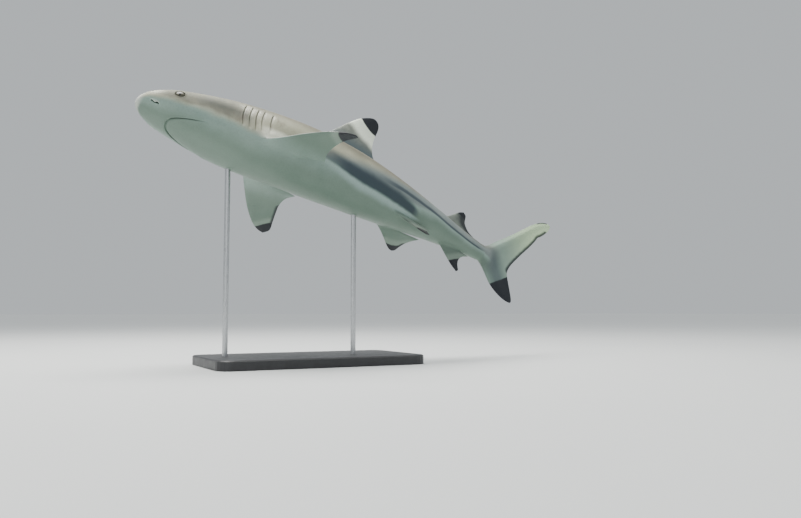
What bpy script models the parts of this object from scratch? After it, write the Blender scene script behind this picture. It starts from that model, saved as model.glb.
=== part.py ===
"""Blacktip reef shark, life size, held in a swimming turn on a plain display stand.

World frame: metres, +Z up, floor at z = 0, origin in the middle of the base's underside.
The snout points along -X, the shark's left side faces -Y.
Body frame: X runs from the snout tip to the tail, Y to the shark's right, Z to its back,
in station units; 97.2 units from the snout to the tip of the upper tail lobe make 1.40 m.
"""
import bpy
import bmesh
import numpy as np
from mathutils import Vector
from math import radians, pi

for ob in list(bpy.data.objects):
    bpy.data.objects.remove(ob, do_unlink=True)

shark = bpy.data.objects.new('shark', None)
stand = bpy.data.objects.new('stand', None)
for ob in (shark, stand):
    bpy.context.scene.collection.objects.link(ob)

UNIT = 1.40/97.2                 # metres per station unit
YAW, PITCH, BANK = radians(-2.345), radians(17.168), radians(-23.295)
CENTRE = np.array([32.71, 0.77, 0.07])   # balance point of the body, station units
LIFT = 0.530                     # height of the balance point over the floor
GAP = 0.0003/UNIT                # 0.3 mm parting between neighbouring nodes

# ------------------------------------------------------------------ body form
# station, top, bottom, half width
ST = np.array([
    [0.0, 0.0, 0.0, 0.0], [1.0, 1.20, -1.15, 2.35], [2.5, 1.95, -1.85, 3.60], [4.5, 2.60, -2.45, 4.55],
    [7.5, 3.45, -3.20, 5.25], [11., 4.30, -4.10, 5.70], [16., 5.30, -5.20, 6.10], [22., 6.20, -5.90, 6.10],
    [29., 6.90, -6.35, 5.85], [36., 7.00, -6.40, 5.50], [44., 6.40, -5.95, 4.95], [52., 5.30, -5.05, 4.10],
    [60., 4.10, -3.90, 3.10], [67., 3.00, -2.90, 2.25], [73., 2.20, -2.20, 1.60], [77., 1.90, -2.05, 1.30]])


def natural_spline(x, y):
    n = len(x)
    h = np.diff(x)
    A = np.zeros((n, n))
    r = np.zeros(n)
    A[0, 0] = A[-1, -1] = 1
    for i in range(1, n-1):
        A[i, i-1], A[i, i], A[i, i+1] = h[i-1], 2*(h[i-1]+h[i]), h[i]
        r[i] = 6*((y[i+1]-y[i])/h[i]-(y[i]-y[i-1])/h[i-1])
    m = np.linalg.solve(A, r)

    def f(q):
        q = np.asarray(q, float)
        i = np.clip(np.searchsorted(x, q)-1, 0, n-2)
        a, b, hh = x[i+1]-q, q-x[i], h[i]
        return (m[i]*a**3+m[i+1]*b**3)/(6*hh)+(y[i]/hh-m[i]*hh/6)*a+(y[i+1]/hh-m[i+1]*hh/6)*b
    return f


ROOT_ST = np.sqrt(ST[:, 0])      # square-root stations give the blunt round snout
f_top, f_bot, f_wid = (natural_spline(ROOT_ST, ST[:, k]) for k in (1, 2, 3))


def skin(x, th, off=0.0):
    """Point on the straight body: station x, angle th from the back (+ to the right), pushed out by off."""
    x, th = np.broadcast_arrays(np.asarray(x, float), np.asarray(th, float))
    t = np.sqrt(np.clip(x, 0, None))
    top, bot, w = f_top(t), f_bot(t), f_wid(t)
    zc = 0.15*(top+bot)
    c, s = np.cos(th), np.sin(th)
    h = np.maximum(np.where(c > 0, top-zc, zc-bot), 1e-9)
    w = np.maximum(w, 1e-9)
    square = np.interp(x, [0, 4, 9, 14, 20, 28, 38, 60, 76], [2.1, 2.5, 2.95, 3.1, 2.8, 2.35, 2.15, 2.05, 2.05])
    n = np.where(c > 0, 2.05, square)
    r = 1/((np.abs(c)/h)**n+(np.abs(s)/w)**n)**(1/n)+off
    return np.stack([x, r*s, zc+r*c], -1)


# sideways curve of the swimming spine: bend in degrees per unit at the named stations
KX = np.array([0, 20, 40, 60, 75, 90, 100.])
KC = np.radians([0.30, 0.30, 0.40, 0.23, -0.35, -0.46, -0.46])
SX = np.linspace(0, 100, 401)
SK = np.interp(SX, KX, KC)


def running_sum(v):
    return np.concatenate([[0], np.cumsum((v[1:]+v[:-1])/2*np.diff(SX))])


HEAD = running_sum(SK)
HEAD -= np.interp(30, SX, HEAD)
CX = running_sum(np.cos(HEAD))
CX -= np.interp(30, SX, CX)-30
CY = running_sum(np.sin(HEAD))
CY -= np.interp(30, SX, CY)


def rot_z(a):
    return np.array([[np.cos(a), -np.sin(a), 0], [np.sin(a), np.cos(a), 0], [0, 0, 1]])


def rot_y(a):
    return np.array([[np.cos(a), 0, np.sin(a)], [0, 1, 0], [-np.sin(a), 0, np.cos(a)]])


def rot_x(a):
    return np.array([[1, 0, 0], [0, np.cos(a), -np.sin(a)], [0, np.sin(a), np.cos(a)]])


TURN = rot_z(YAW) @ rot_y(PITCH) @ rot_x(BANK)


def pose(P):
    """Straight body frame to the world: curve the spine, then pitch, bank and lift the whole shark."""
    P = np.asarray(P, float)
    a = np.interp(P[..., 0], SX, HEAD)
    Q = np.stack([np.interp(P[..., 0], SX, CX)-P[..., 1]*np.sin(a),
                  np.interp(P[..., 0], SX, CY)+P[..., 1]*np.cos(a), P[..., 2]], -1)
    return (Q-CENTRE) @ TURN.T*UNIT+np.array([0, 0, LIFT])


# ------------------------------------------------------------------ fins
def curve(pts, at):
    """Centripetal Catmull-Rom through pts, sampled at fractions of its length."""
    p = np.asarray(pts, float)
    p = np.vstack([2*p[0]-p[1], p, 2*p[-1]-p[-2]])
    out = []
    for i in range(1, len(p)-2):
        a, b, c, d = p[i-1], p[i], p[i+1], p[i+2]
        t1 = np.linalg.norm(b-a)**.5
        t2 = t1+np.linalg.norm(c-b)**.5
        t3 = t2+np.linalg.norm(d-c)**.5
        t = np.linspace(t1, t2, 33)[:, None]
        A1 = (t1-t)/t1*a+t/t1*b
        A2 = (t2-t)/(t2-t1)*b+(t-t1)/(t2-t1)*c
        A3 = (t3-t)/(t3-t2)*c+(t-t2)/(t3-t2)*d
        B1 = (t2-t)/t2*A1+t/t2*A2
        B2 = (t3-t)/(t3-t1)*A2+(t-t1)/(t3-t1)*A3
        out.append((t2-t)/(t2-t1)*B1+(t-t1)/(t2-t1)*B2)
    q = np.vstack(out)
    q = q[np.concatenate([[True], np.linalg.norm(np.diff(q, axis=0), axis=1) > 1e-9])]
    L = np.concatenate([[0], np.cumsum(np.linalg.norm(np.diff(q, axis=0), axis=1))])
    u = np.asarray(at, float)*L[-1]
    return np.stack([np.interp(u, L, q[:, k]) for k in range(2)], -1)


# outlines in (station, height over the root): leading edge, inner margin, trailing edge;
# th = body angle of the root at its front and back end, span = direction the fin stands out
FINS = {
    'first_dorsal_fin': dict(
        le=[(32.0, 0), (34.1, 1.75), (36.3, 4.1), (38.7, 6.95), (41.1, 9.4), (42.6, 10.45), (43.5, 10.9), (44.15, 11.05)],
        tr=[(42.3, 0), (44.4, 0.35), (46.4, 0.7)],
        te=[(46.4, 0.7), (45.2, 2.2), (44.7, 4.6), (44.95, 7.0), (45.33, 8.9), (45.36, 9.75), (45.18, 10.42), (44.75, 10.88), (44.15, 11.05)],
        th=(0, 0), span=(0, 0, 1), lean=(0, -0.9, 0), ref=11.1, T=0.42),
    'second_dorsal_fin': dict(
        le=[(63.6, 0), (65.7, 1.3), (67.4, 2.9), (68.9, 4.3), (70.0, 4.95)],
        tr=[(69.2, 0), (71.3, 0.3), (73.4, 0.6)],
        te=[(73.4, 0.6), (71.7, 1.3), (70.7, 2.7), (70.75, 3.9), (70.7, 4.6), (70.0, 4.95)],
        th=(0, 0), span=(0, 0, 1), lean=(0, -0.35, 0), ref=5.0, T=0.26),
    'anal_fin': dict(
        le=[(63.6, 0), (64.5, 1.0), (65.8, 2.55), (67.2, 4.0), (68.75, 5.2)],
        tr=[(69.4, 0), (70.7, 0.25), (72.0, 0.5)],
        te=[(72.0, 0.5), (70.2, 1.25), (69.25, 2.3), (69.05, 3.5), (69.25, 4.8), (68.75, 5.2)],
        th=(180, 180), span=(0, 0, -1), lean=(0, 0, 0), ref=5.4, T=0.24),
    'pectoral_fin_left': dict(
        le=[(21.6, 0), (24.5, 2.8), (26.7, 5.6), (28.4, 7.95), (30.4, 10.3), (32.0, 11.8), (33.2, 12.4)],
        tr=[(28.2, 0), (30.4, 0.7), (32.7, 1.5)],
        te=[(32.7, 1.5), (32.15, 3.4), (32.35, 6.4), (32.8, 8.8), (33.4, 10.6), (33.75, 12.0), (33.2, 12.4)],
        th=(-121.5, -128), span=(0, -1, -0.09), arch=0.9, lean=(0, 0, 0), ref=12.4, T=0.50),
    'pectoral_fin_right': dict(
        le=[(21.4, 0), (22.8, 3.4), (25.3, 8.4), (27.8, 11.7), (29.7, 13.1), (31.2, 13.5)],
        tr=[(28.2, 0), (30.4, 0.6), (32.5, 1.2)],
        te=[(32.5, 1.2), (31.4, 2.6), (30.95, 5.0), (31.3, 7.5), (31.85, 10.2), (32.2, 12.5), (31.2, 13.5)],
        th=(121.5, 128), span=(0, 1, -0.16), arch=0.6, lean=(0, 0, 0), ref=13.5, T=0.50),
    'pelvic_fin_left': dict(
        le=[(49.6, 0), (51.4, 1.3), (53.2, 2.6), (55.0, 3.85), (56.2, 4.55)],
        tr=[(54.8, 0), (57.0, 0.3), (59.2, 0.6)],
        te=[(59.2, 0.6), (58.0, 1.5), (57.3, 2.7), (57.1, 3.8), (56.9, 4.5), (56.2, 4.55)],
        th=(-146, -150), span=(0, -0.60, -0.79), lean=(0, 0, 0), ref=4.6, T=0.24),
    'pelvic_fin_right': dict(
        le=[(49.6, 0), (51.4, 1.3), (53.1, 2.7), (54.6, 3.95), (55.7, 4.68), (56.5, 4.88)],
        tr=[(54.8, 0), (57.45, 0.21), (60.1, 0.42)],
        te=[(60.1, 0.42), (58.9, 1.3), (58.15, 2.1), (57.65, 2.95), (57.35, 3.8), (57.1, 4.6), (56.5, 4.88)],
        th=(146, 150), span=(0, 0.9, -0.43), lean=(0, 0, 0), ref=4.6, T=0.24),
}
LOBE = 0.12                      # share of the span rows given to the free rear tip
EDGE = 0.034                     # half thickness of the thin trailing edges: about 1 mm in all


def fin_root(f, x):
    return np.radians(np.interp(x, [f['le'][0][0], f['tr'][0][0]], f['th']))


def fin_mid(f, x, h, off=0.0):
    x, h = np.broadcast_arrays(np.asarray(x, float), np.asarray(h, float))
    s = np.array(f['span'], float)
    s /= np.linalg.norm(s)
    q = h/f['ref']
    return (skin(x, fin_root(f, x), off)+h[..., None]*s+np.array(f['lean'])*(q*q)[..., None]
            + np.array([0, 0, f.get('arch', 0)])*(4*q*(1-q))[..., None])


def foil(u):
    """Rounded front, thin back, 1 at the thickest."""
    return (0.2969*np.sqrt(u)-0.1260*u-0.3516*u**2+0.2843*u**3-0.1015*u**4)/0.1*0.999


def fin_sides(f, u, v, off):
    """Both faces of a fin for chord fractions u and span fractions v."""
    le = curve(f['le'], v)
    te = np.where((v < LOBE)[:, None], curve(f['tr'], np.clip(v/LOBE, 0, 1)),
                  curve(f['te'], np.clip((v-LOBE)/(1-LOBE), 0, 1)))
    xh = le[:, None]*(1-u[None, :, None])+te[:, None]*u[None, :, None]
    x, h = xh[..., 0], xh[..., 1]
    M = fin_mid(f, x, h, off)
    e = 1e-3
    n = np.cross(fin_mid(f, x+e, h)-fin_mid(f, x-e, h), fin_mid(f, x, h+e)-fin_mid(f, x, h-e))
    n /= np.linalg.norm(n, axis=-1)[..., None]
    round_front = np.sqrt(np.clip(1-(1-np.clip(u/0.05, 0, 1))**2, 0, 1))
    t = (f['T']*(1-v[:, None])**0.85+0.05)*foil(u)[None]+EDGE*round_front[None]
    fade = np.clip(v/0.16, 0, 1)[:, None, None]
    fade = 1-fade*fade*(3-2*fade)
    th = fin_root(f, x[0])
    rad = np.linalg.norm((skin(x[0], th)-skin(x[0], th+pi))[:, 1:], axis=-1)/2
    turn = np.sign(np.sum(n[0]*(skin(x[0], th+0.01)-skin(x[0], th-0.01)), -1))
    out = []
    for side in (1, -1):
        P = M+side*t[..., None]*n
        C = skin(x[0], th+side*turn*t[0]/rad, off)
        out.append(P+fade*(C-P[0])[None])
    return out[0], out[1], M


# ------------------------------------------------------------------ mesh helpers
MATS = {}


def material(name, colour, rough, metal=0.0):
    if name not in MATS:
        m = bpy.data.materials.new(name)
        m.use_nodes = True
        b = m.node_tree.nodes['Principled BSDF']
        b.inputs['Base Color'].default_value = (*colour, 1)
        b.inputs['Roughness'].default_value = rough
        b.inputs['Metallic'].default_value = metal
        m.diffuse_color = (*colour, 1)
        MATS[name] = m
    return MATS[name]


def solid(name, verts, faces, mat=None, cutter=False):
    bm = bmesh.new()
    vs = [bm.verts.new(tuple(map(float, v))) for v in verts]
    for f in faces:
        k = list(dict.fromkeys(f))
        if len(k) > 2:
            bm.faces.new([vs[i] for i in k])
    bmesh.ops.remove_doubles(bm, verts=bm.verts, dist=1e-5)
    bmesh.ops.triangulate(bm, faces=bm.faces)
    bmesh.ops.recalc_face_normals(bm, faces=bm.faces)
    if bm.calc_volume(signed=True) < 0:
        bmesh.ops.reverse_faces(bm, faces=bm.faces)
    lo = [min(v.co[k] for v in bm.verts) for k in range(3)]
    hi = [max(v.co[k] for v in bm.verts) for k in range(3)]
    middle = Vector((a+b)/2 for a, b in zip(lo, hi))
    bmesh.ops.translate(bm, verts=bm.verts, vec=-middle)
    me = bpy.data.meshes.new(name)
    bm.to_mesh(me)
    bm.free()
    ob = bpy.data.objects.new(name, me)
    bpy.context.scene.collection.objects.link(ob)
    ob.location = middle
    ob.parent = stand if name.startswith(('stand_', 'hole_')) else shark
    if mat:
        me.materials.append(mat)
    if cutter:
        ob.hide_render = True
        ob.display_type = 'WIRE'
    return ob


def loft(rings, first='cap', last='cap'):
    """Closed loops to a solid; an end is a flat fan ('cap') or drawn to one point ('point')."""
    rings = [np.asarray(r) for r in rings]
    n = len(rings[0])
    V = np.vstack(rings+[rings[0].mean(0)[None], rings[-1].mean(0)[None]])
    a, b = n*len(rings), n*len(rings)+1
    F = []
    for i in range(len(rings)-1):
        for j in range(n):
            k = (j+1) % n
            F.append((i*n+j, (i+1)*n+j, (i+1)*n+k, i*n+k))
    for j in range(n):
        k = (j+1) % n
        F.append((a, j, k))
        F.append((b, (len(rings)-1)*n+k, (len(rings)-1)*n+j))
    return V, F


def cut(ob, tool, how='DIFFERENCE'):
    m = ob.modifiers.new(tool.name, 'BOOLEAN')
    m.operation = how
    m.solver = 'EXACT'
    m.object = tool


def ellipsoid(name, centre, axes, radii, n=18, m=10, mat=None, cutter=False):
    """Eyeball form: axes are three unit vectors in the body frame."""
    V, F = [centre+axes[1]*radii[1], centre-axes[1]*radii[1]], []
    for i in range(1, m):
        a = pi*i/m
        for j in range(n):
            b = 2*pi*j/n
            V.append(centre+axes[1]*radii[1]*np.cos(a)
                     + (axes[0]*radii[0]*np.cos(b)+axes[2]*radii[2]*np.sin(b))*np.sin(a))
    for j in range(n):
        k = (j+1) % n
        F.append((0, 2+j, 2+k))
        F.append((1, 2+(m-2)*n+k, 2+(m-2)*n+j))
        for i in range(m-2):
            F.append((2+i*n+j, 2+(i+1)*n+j, 2+(i+1)*n+k, 2+i*n+k))
    return solid(name, pose(np.array(V)), F, mat, cutter)


BACK = (0.17, 0.15, 0.115)
FIN = (0.20, 0.19, 0.15)
m_head = material('head_skin', (0.20, 0.18, 0.14), 0.45)
m_trunk = material('trunk_skin', BACK, 0.45)
m_tail = material('tail_skin', (0.22, 0.21, 0.17), 0.45)
m_jaw = material('jaw_skin', (0.52, 0.53, 0.47), 0.45)

# ------------------------------------------------------------------ body: head, trunk, tail
SPLIT_HEAD, SPLIT_TAIL, TAIL_END = 21.0, 54.0, 76.2


def tube(name, stations, mat, columns=36, off=0.0, cutter=False):
    th = np.linspace(0, 2*pi, columns, endpoint=False)
    return solid(name, *loft([pose(skin(x, th, off)) for x in stations]), mat, cutter)


HEAD_ST = [0.03, 0.22, 0.6, 1.15, 1.9, 2.8, 3.9, 5.2, 6.6, 8.0, 9.4, 10.9, 12.4, 14.0, 15.7, 17.4, 19.2, SPLIT_HEAD]
head = tube('head', HEAD_ST, m_head)
trunk = tube('trunk', np.linspace(SPLIT_HEAD+GAP, SPLIT_TAIL-GAP, 16), m_trunk)
tail = tube('tail', np.linspace(SPLIT_TAIL, TAIL_END-GAP, 12), m_tail)

# ------------------------------------------------------------------ lower jaw: the arc of the mouth, closed
MOUTH_FRONT, MOUTH_REACH, MOUTH_HALF, MOUTH_BEND = 5.7, 6.0, 4.72, 2.5
JAW_BACK, JAW_TOP = 15.4, -1.9


def jaw_outline(shrink):
    y = np.linspace(-MOUTH_HALF, MOUTH_HALF, 15)
    x = MOUTH_FRONT+MOUTH_REACH*np.abs(y/MOUTH_HALF)**MOUTH_BEND
    a = np.linspace(0, pi, 9)[1:-1]
    bx = MOUTH_FRONT+MOUTH_REACH+(JAW_BACK-MOUTH_FRONT-MOUTH_REACH)*np.sin(a)
    by = MOUTH_HALF*np.cos(a)
    p = np.vstack([np.stack([x, y], -1), np.stack([bx, by], -1)])
    c = p.mean(0)
    d = np.roll(p, -1, 0)-np.roll(p, 1, 0)
    n = np.stack([d[:, 1], -d[:, 0]], -1)/np.linalg.norm(d, axis=1)[:, None]
    n *= np.sign(((p-c)*n).sum(1))[:, None]
    return p-shrink*n


def jaw_block(name, shrink, top):
    p = jaw_outline(shrink)
    rings = [pose(np.column_stack([p, np.full(len(p), z)])) for z in (top, -8.0)]
    return solid(name, *loft(rings), None, True)


jaw_hole = jaw_block('jaw_hole', 0.0, JAW_TOP)
jaw_form = jaw_block('jaw_form', 2*GAP, JAW_TOP-2*GAP)
lower_jaw = tube('lower_jaw', HEAD_ST[5:16], m_jaw)
cut(lower_jaw, jaw_form, 'INTERSECT')
cut(head, jaw_hole)

# ------------------------------------------------------------------ eyes in their sockets
m_eye = material('eye', (0.03, 0.035, 0.035), 0.12)
EYE_ST, EYE_TH, EYE_DEPTH = 6.8, radians(86), 0.55
EYE_R = (1.03, 0.77, 0.90)        # along the head, outward, upward
for side, s in (('left', -1), ('right', 1)):
    p = skin(EYE_ST, s*EYE_TH)
    along = skin(EYE_ST+.05, s*EYE_TH)-skin(EYE_ST-.05, s*EYE_TH)
    around = skin(EYE_ST, s*EYE_TH+.01)-skin(EYE_ST, s*EYE_TH-.01)
    along /= np.linalg.norm(along)
    out = np.cross(along, around)
    out /= np.linalg.norm(out)
    out *= np.sign(out[1])*s
    up = np.cross(along, out)
    c = p-out*EYE_DEPTH
    ellipsoid('eye_'+side, c, (along, out, up), EYE_R, 16, 8, m_eye)
    socket = ellipsoid('socket_'+side, c, (along, out, up), tuple(r+GAP*1.6 for r in EYE_R), 16, 8, None, True)
    cut(head, socket)

# ------------------------------------------------------------------ nostrils and gill slits
def blade(name, paths, half, deep, high):
    """Thin knife along paths of (station, angle): one closed sliver per path."""
    V, F = [], []
    for path in paths:
        path = np.array(path, float)
        d = np.gradient(path, axis=0)
        rad = 5.5
        t = np.stack([d[:, 0], d[:, 1]*rad], -1)
        t /= np.linalg.norm(t, axis=1)[:, None]
        sx, sa = -t[:, 1]*half, t[:, 0]*half/rad
        base = len(V)
        rows = []
        for k, q in enumerate(path):
            taper = 0.35 if k in (0, len(path)-1) else 1.0
            rows.append([skin(q[0]-sx[k]*taper, q[1]-sa[k]*taper, high), skin(q[0]+sx[k]*taper, q[1]+sa[k]*taper, high),
                         skin(q[0]+sx[k]*taper, q[1]+sa[k]*taper, -deep), skin(q[0]-sx[k]*taper, q[1]-sa[k]*taper, -deep)])
        for r in rows:
            V += r
        for k in range(len(rows)-1):
            for j in range(4):
                m = (j+1) % 4
                F.append((base+4*k+j, base+4*(k+1)+j, base+4*(k+1)+m, base+4*k+m))
        F.append(tuple(base+j for j in range(4)))
        F.append(tuple(base+4*(len(rows)-1)+j for j in (3, 2, 1, 0)))
    return solid(name, pose(np.array(V)), F, None, True)


GILLS = (17.45, 18.6, 19.7, 20.75, 22.3)
LOW = (-110, -111, -111, -109, -105)
for s, side in ((1, 'left'), (-1, 'right')):
    lines = []
    for g, low in zip(GILLS, LOW):
        a = np.radians(np.linspace(-64, low, 7))
        lines.append(np.stack([g+0.35*((np.degrees(a)+88)/24)**2-0.2, s*a], -1))
    cut(head, blade('gills_front_'+side, lines[:4], 0.035, 0.30, 0.6))
    cut(trunk, blade('gill_rear_'+side, lines[4:], 0.035, 0.30, 0.6))
    nostril = np.stack([np.linspace(2.6, 4.0, 5), s*np.radians(np.linspace(-109.8, -115.2, 5))], -1)
    cut(head, blade('nostril_'+side, [nostril], 0.11, 0.35, 0.6))

# ------------------------------------------------------------------ fins
def fin(name, f, mat, nu=9, nv=10):
    u = 0.5-0.5*np.cos(np.linspace(0, pi, nu+1))
    v = np.sin(np.linspace(0, pi/2, nv+1))**1.0
    v = np.concatenate([[0, 0.05], v[1:-1], [0.985]])
    v = np.unique(np.round(v, 4))
    A, B, M = fin_sides(f, u, v, 2*GAP)
    rings = [np.vstack([A[i, :1], A[i, 1:], B[i, :0:-1]]) for i in range(len(v))]
    n = len(rings[0])
    V = list(np.vstack(rings))
    tip = len(V)
    V.append(M[-1].mean(0)+0.3*(M[-1]-M[-2]).mean(0))
    mid = len(V)
    root_mid = skin(M[0, 1:-1, 0], fin_root(f, M[0, 1:-1, 0]), 2*GAP)
    V += list(root_mid)
    F = []
    for i in range(len(rings)-1):
        for j in range(n):
            k = (j+1) % n
            F.append((i*n+j, (i+1)*n+j, (i+1)*n+k, i*n+k))
    for j in range(n):
        F.append((tip, (len(rings)-1)*n+(j+1) % n, (len(rings)-1)*n+j))
    # root face follows the body in two strips, front edge is ring vertex 0
    m = len(root_mid)
    up = [1+j for j in range(m)]
    lo = [n-1-j for j in range(m)]
    F += [(0, up[0], mid), (0, mid, lo[0])]
    for j in range(m-1):
        F += [(up[j], up[j+1], mid+j+1, mid+j), (mid+j, mid+j+1, lo[j+1], lo[j])]
    F += [(up[-1], m+1, mid+m-1), (mid+m-1, m+1, m+2), (mid+m-1, m+2, lo[-1])]
    return solid(name, pose(np.array(V)), F, mat)


FIN_COLOUR = {
    'first_dorsal_fin': (0.24, 0.24, 0.20), 'second_dorsal_fin': (0.19, 0.19, 0.16), 'anal_fin': (0.14, 0.14, 0.12),
    'pectoral_fin_left': (0.40, 0.42, 0.35), 'pectoral_fin_right': (0.36, 0.38, 0.31),
    'pelvic_fin_left': (0.38, 0.40, 0.34), 'pelvic_fin_right': (0.34, 0.36, 0.30)}
for name, f in FINS.items():
    big = f['ref'] > 8
    fin(name, f, material(name, FIN_COLOUR[name], 0.45), 9 if big else 8, 9 if big else 7)

# ------------------------------------------------------------------ tail fin: upper and lower lobe
def lobe(name, front, back, sections, thick, mat, nq=10):
    s = np.asarray(sections)
    A, B = curve(front, s), curve(back, s)
    q = -np.cos(np.linspace(0, pi, nq+1))          # -1 at the lower/back outline, +1 at the front outline
    rings = []
    for i, si in enumerate(s):
        line = A[i]*(1+q[:, None])/2+B[i]*(1-q[:, None])/2
        t = thick(si, q)
        one = np.column_stack([line[:, 0], t, line[:, 1]])
        two = np.column_stack([line[:, 0], -t, line[:, 1]])
        rings.append(pose(np.vstack([one, two[-2:0:-1]])))
    return solid(name, *loft(rings), mat)


def upper_thick(s, q):
    core = np.interp(s, [0, .12, .3, .6, .85, 1], [1.27, .92, .60, .34, .20, .12])
    form = np.sqrt(np.clip(1-q*q, 0, 1))
    ridge = np.exp(-((q-0.25)/0.55)**2)
    mix = np.clip(s/0.15, 0, 1)
    return (core-EDGE)*form*((1-mix)+mix*ridge)+EDGE*np.clip(form*4, 0, 1)


def lower_thick(s, q):
    core = np.interp(s, [0, .3, .7, 1], [.35, .42, .22, .10])
    form = np.sqrt(np.clip(1-q*q, 0, 1))
    return (core-EDGE)*form*(0.75+0.25*q)+EDGE*np.clip(form*4, 0, 1)


m_cau = material('caudal_fin_upper', (0.36, 0.37, 0.31), 0.45)
m_cal = material('caudal_fin_lower', (0.16, 0.16, 0.14), 0.45)
UP = [(76.24, 1.92), (78.0, 3.0), (80.2, 4.9), (84.4, 8.4), (87.4, 11.0), (91.1, 14.3), (93.2, 15.9), (95.4, 16.95), (96.7, 17.05), (97.2, 16.5)]
UP_BACK = [(76.24, -2.03), (79.6, -2.70), (83.62, -1.85), (84.4, 0.1), (87.2, 3.9), (91.0, 8.6), (92.6, 10.8), (93.2, 11.75), (94.0, 12.35),
           (95.3, 13.6), (96.6, 15.2), (97.2, 16.45)]
LO_TOP = [(75.8, -2.24), (76.9, -2.34), (79.6, -2.87), (83.3, -2.22)]
LO = [(75.9, -2.45), (76.9, -4.3), (78.4, -6.6), (80.2, -7.95), (82.0, -8.75), (83.6, -9.05), (84.55, -8.9), (84.75, -8.1), (84.4, -6.0),
      (83.85, -3.5), (83.55, -2.40)]
lobe('caudal_fin_upper', UP, UP_BACK, [0, .06, .13, .2, .27, .35, .43, .52, .61, .7, .78, .85, .91, .955, .985], upper_thick, m_cau, 10)
lobe('caudal_fin_lower', LO_TOP, LO, [0, .08, .18, .29, .4, .5, .58, .66, .75, .85, .93, .985], lower_thick, m_cal, 8)

# ------------------------------------------------------------------ display stand
m_base = material('stand_base', (0.035, 0.035, 0.038), 0.45)
m_rod = material('stand_rod', (0.56, 0.57, 0.58), 0.30, 1.0)
BASE_L, BASE_W, BASE_H, BASE_R, CHAMFER = 0.56, 0.30, 0.025, 0.035, 0.003
ROD_R, ROD_DEEP = 0.007, 0.015


def slab(name, length, width, z0, z1, r, chamfer, mat):
    def outline(inset, z):
        pts = []
        for cx, cy, a0 in ((1, 1, 0), (-1, 1, 90), (-1, -1, 180), (1, -1, 270)):
            for k in range(6):
                a = radians(a0+18*k)
                pts.append((cx*(length/2-r)+(r-inset)*np.cos(a), cy*(width/2-r)+(r-inset)*np.sin(a), z))
        return np.array(pts)
    return solid(name, *loft([outline(chamfer*.5, z0), outline(0, z0+chamfer*.5), outline(0, z1-chamfer), outline(chamfer, z1)]), mat)


def post(name, x, y, z0, z1, r, mat=None, cutter=False, n=18):
    a = np.linspace(0, 2*pi, n, endpoint=False)
    return solid(name, *loft([np.column_stack([x+r*np.cos(a), y+r*np.sin(a), np.full(n, z)]) for z in (z0, z1)]), mat, cutter)


base = slab('stand_base', BASE_L, BASE_W, 0.0, BASE_H, BASE_R, CHAMFER, m_base)
RODS = {'stand_rod_front': 18.3, 'stand_rod_rear': 43.5}    # stations the rods reach
inside = np.linspace(12, 50, 26)
th48 = np.linspace(0, 2*pi, 48, endpoint=False)
body_form = solid('body_form', *loft([pose(skin(x, th48, GAP*1.2)) for x in inside]), None, True)
for name, x in RODS.items():
    ring = pose(skin(x, np.linspace(0, 2*pi, 721)))
    low = ring[np.argmin(ring[:, 2])]
    centre = pose(np.array([x, 0, 0]))
    rod = post(name, low[0], low[1], BASE_H-ROD_DEEP, centre[2]-0.02, ROD_R, m_rod)
    hole = post(name.replace('stand_', 'hole_'), low[0], low[1], BASE_H-ROD_DEEP-0.0003, BASE_H+0.02, ROD_R+0.0003, None, True)
    cut(base, hole)
    cut(rod, body_form)
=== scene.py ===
"""Looks of the blacktip reef shark display model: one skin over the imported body, two eyes, its stand and a studio.

World: metres, +Z up, floor at z = 0. Body frame: X back from the snout tip, Y to the shark's right,
Z to its back, in station units; 97.2 units make 1.40 m.
"""

import bpy
import bmesh
import numpy as np
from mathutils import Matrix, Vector
from math import radians, pi


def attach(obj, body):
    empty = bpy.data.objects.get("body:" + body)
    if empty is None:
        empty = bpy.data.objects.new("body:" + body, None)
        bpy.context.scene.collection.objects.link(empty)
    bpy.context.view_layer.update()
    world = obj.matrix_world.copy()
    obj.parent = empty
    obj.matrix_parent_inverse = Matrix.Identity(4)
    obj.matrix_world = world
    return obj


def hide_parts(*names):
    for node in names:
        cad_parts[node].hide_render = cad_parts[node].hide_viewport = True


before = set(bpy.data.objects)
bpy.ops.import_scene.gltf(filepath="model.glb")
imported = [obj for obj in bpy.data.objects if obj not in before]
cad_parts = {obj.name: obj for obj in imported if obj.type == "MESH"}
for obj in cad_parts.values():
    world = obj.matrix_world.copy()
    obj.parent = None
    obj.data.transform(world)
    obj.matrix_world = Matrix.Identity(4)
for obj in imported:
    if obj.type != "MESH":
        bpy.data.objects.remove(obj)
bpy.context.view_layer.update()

UNIT = 1.40/97.2
YAW, PITCH, BANK = radians(-2.345), radians(17.168), radians(-23.295)
CENTRE = np.array([32.71, 0.77, 0.07])
LIFT = 0.530

# ------------------------------------------------------------------ body form
# station, top, bottom, half width
ST = np.array([
    [0.0, 0.0, 0.0, 0.0], [1.0, 1.20, -1.15, 2.35], [2.5, 1.95, -1.85, 3.60], [4.5, 2.60, -2.45, 4.55],
    [7.5, 3.45, -3.20, 5.25], [11., 4.30, -4.10, 5.70], [16., 5.30, -5.20, 6.10], [22., 6.20, -5.90, 6.10],
    [29., 6.90, -6.35, 5.85], [36., 7.00, -6.40, 5.50], [44., 6.40, -5.95, 4.95], [52., 5.30, -5.05, 4.10],
    [60., 4.10, -3.90, 3.10], [67., 3.00, -2.90, 2.25], [73., 2.20, -2.20, 1.60], [77., 1.90, -2.05, 1.30]])


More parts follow.
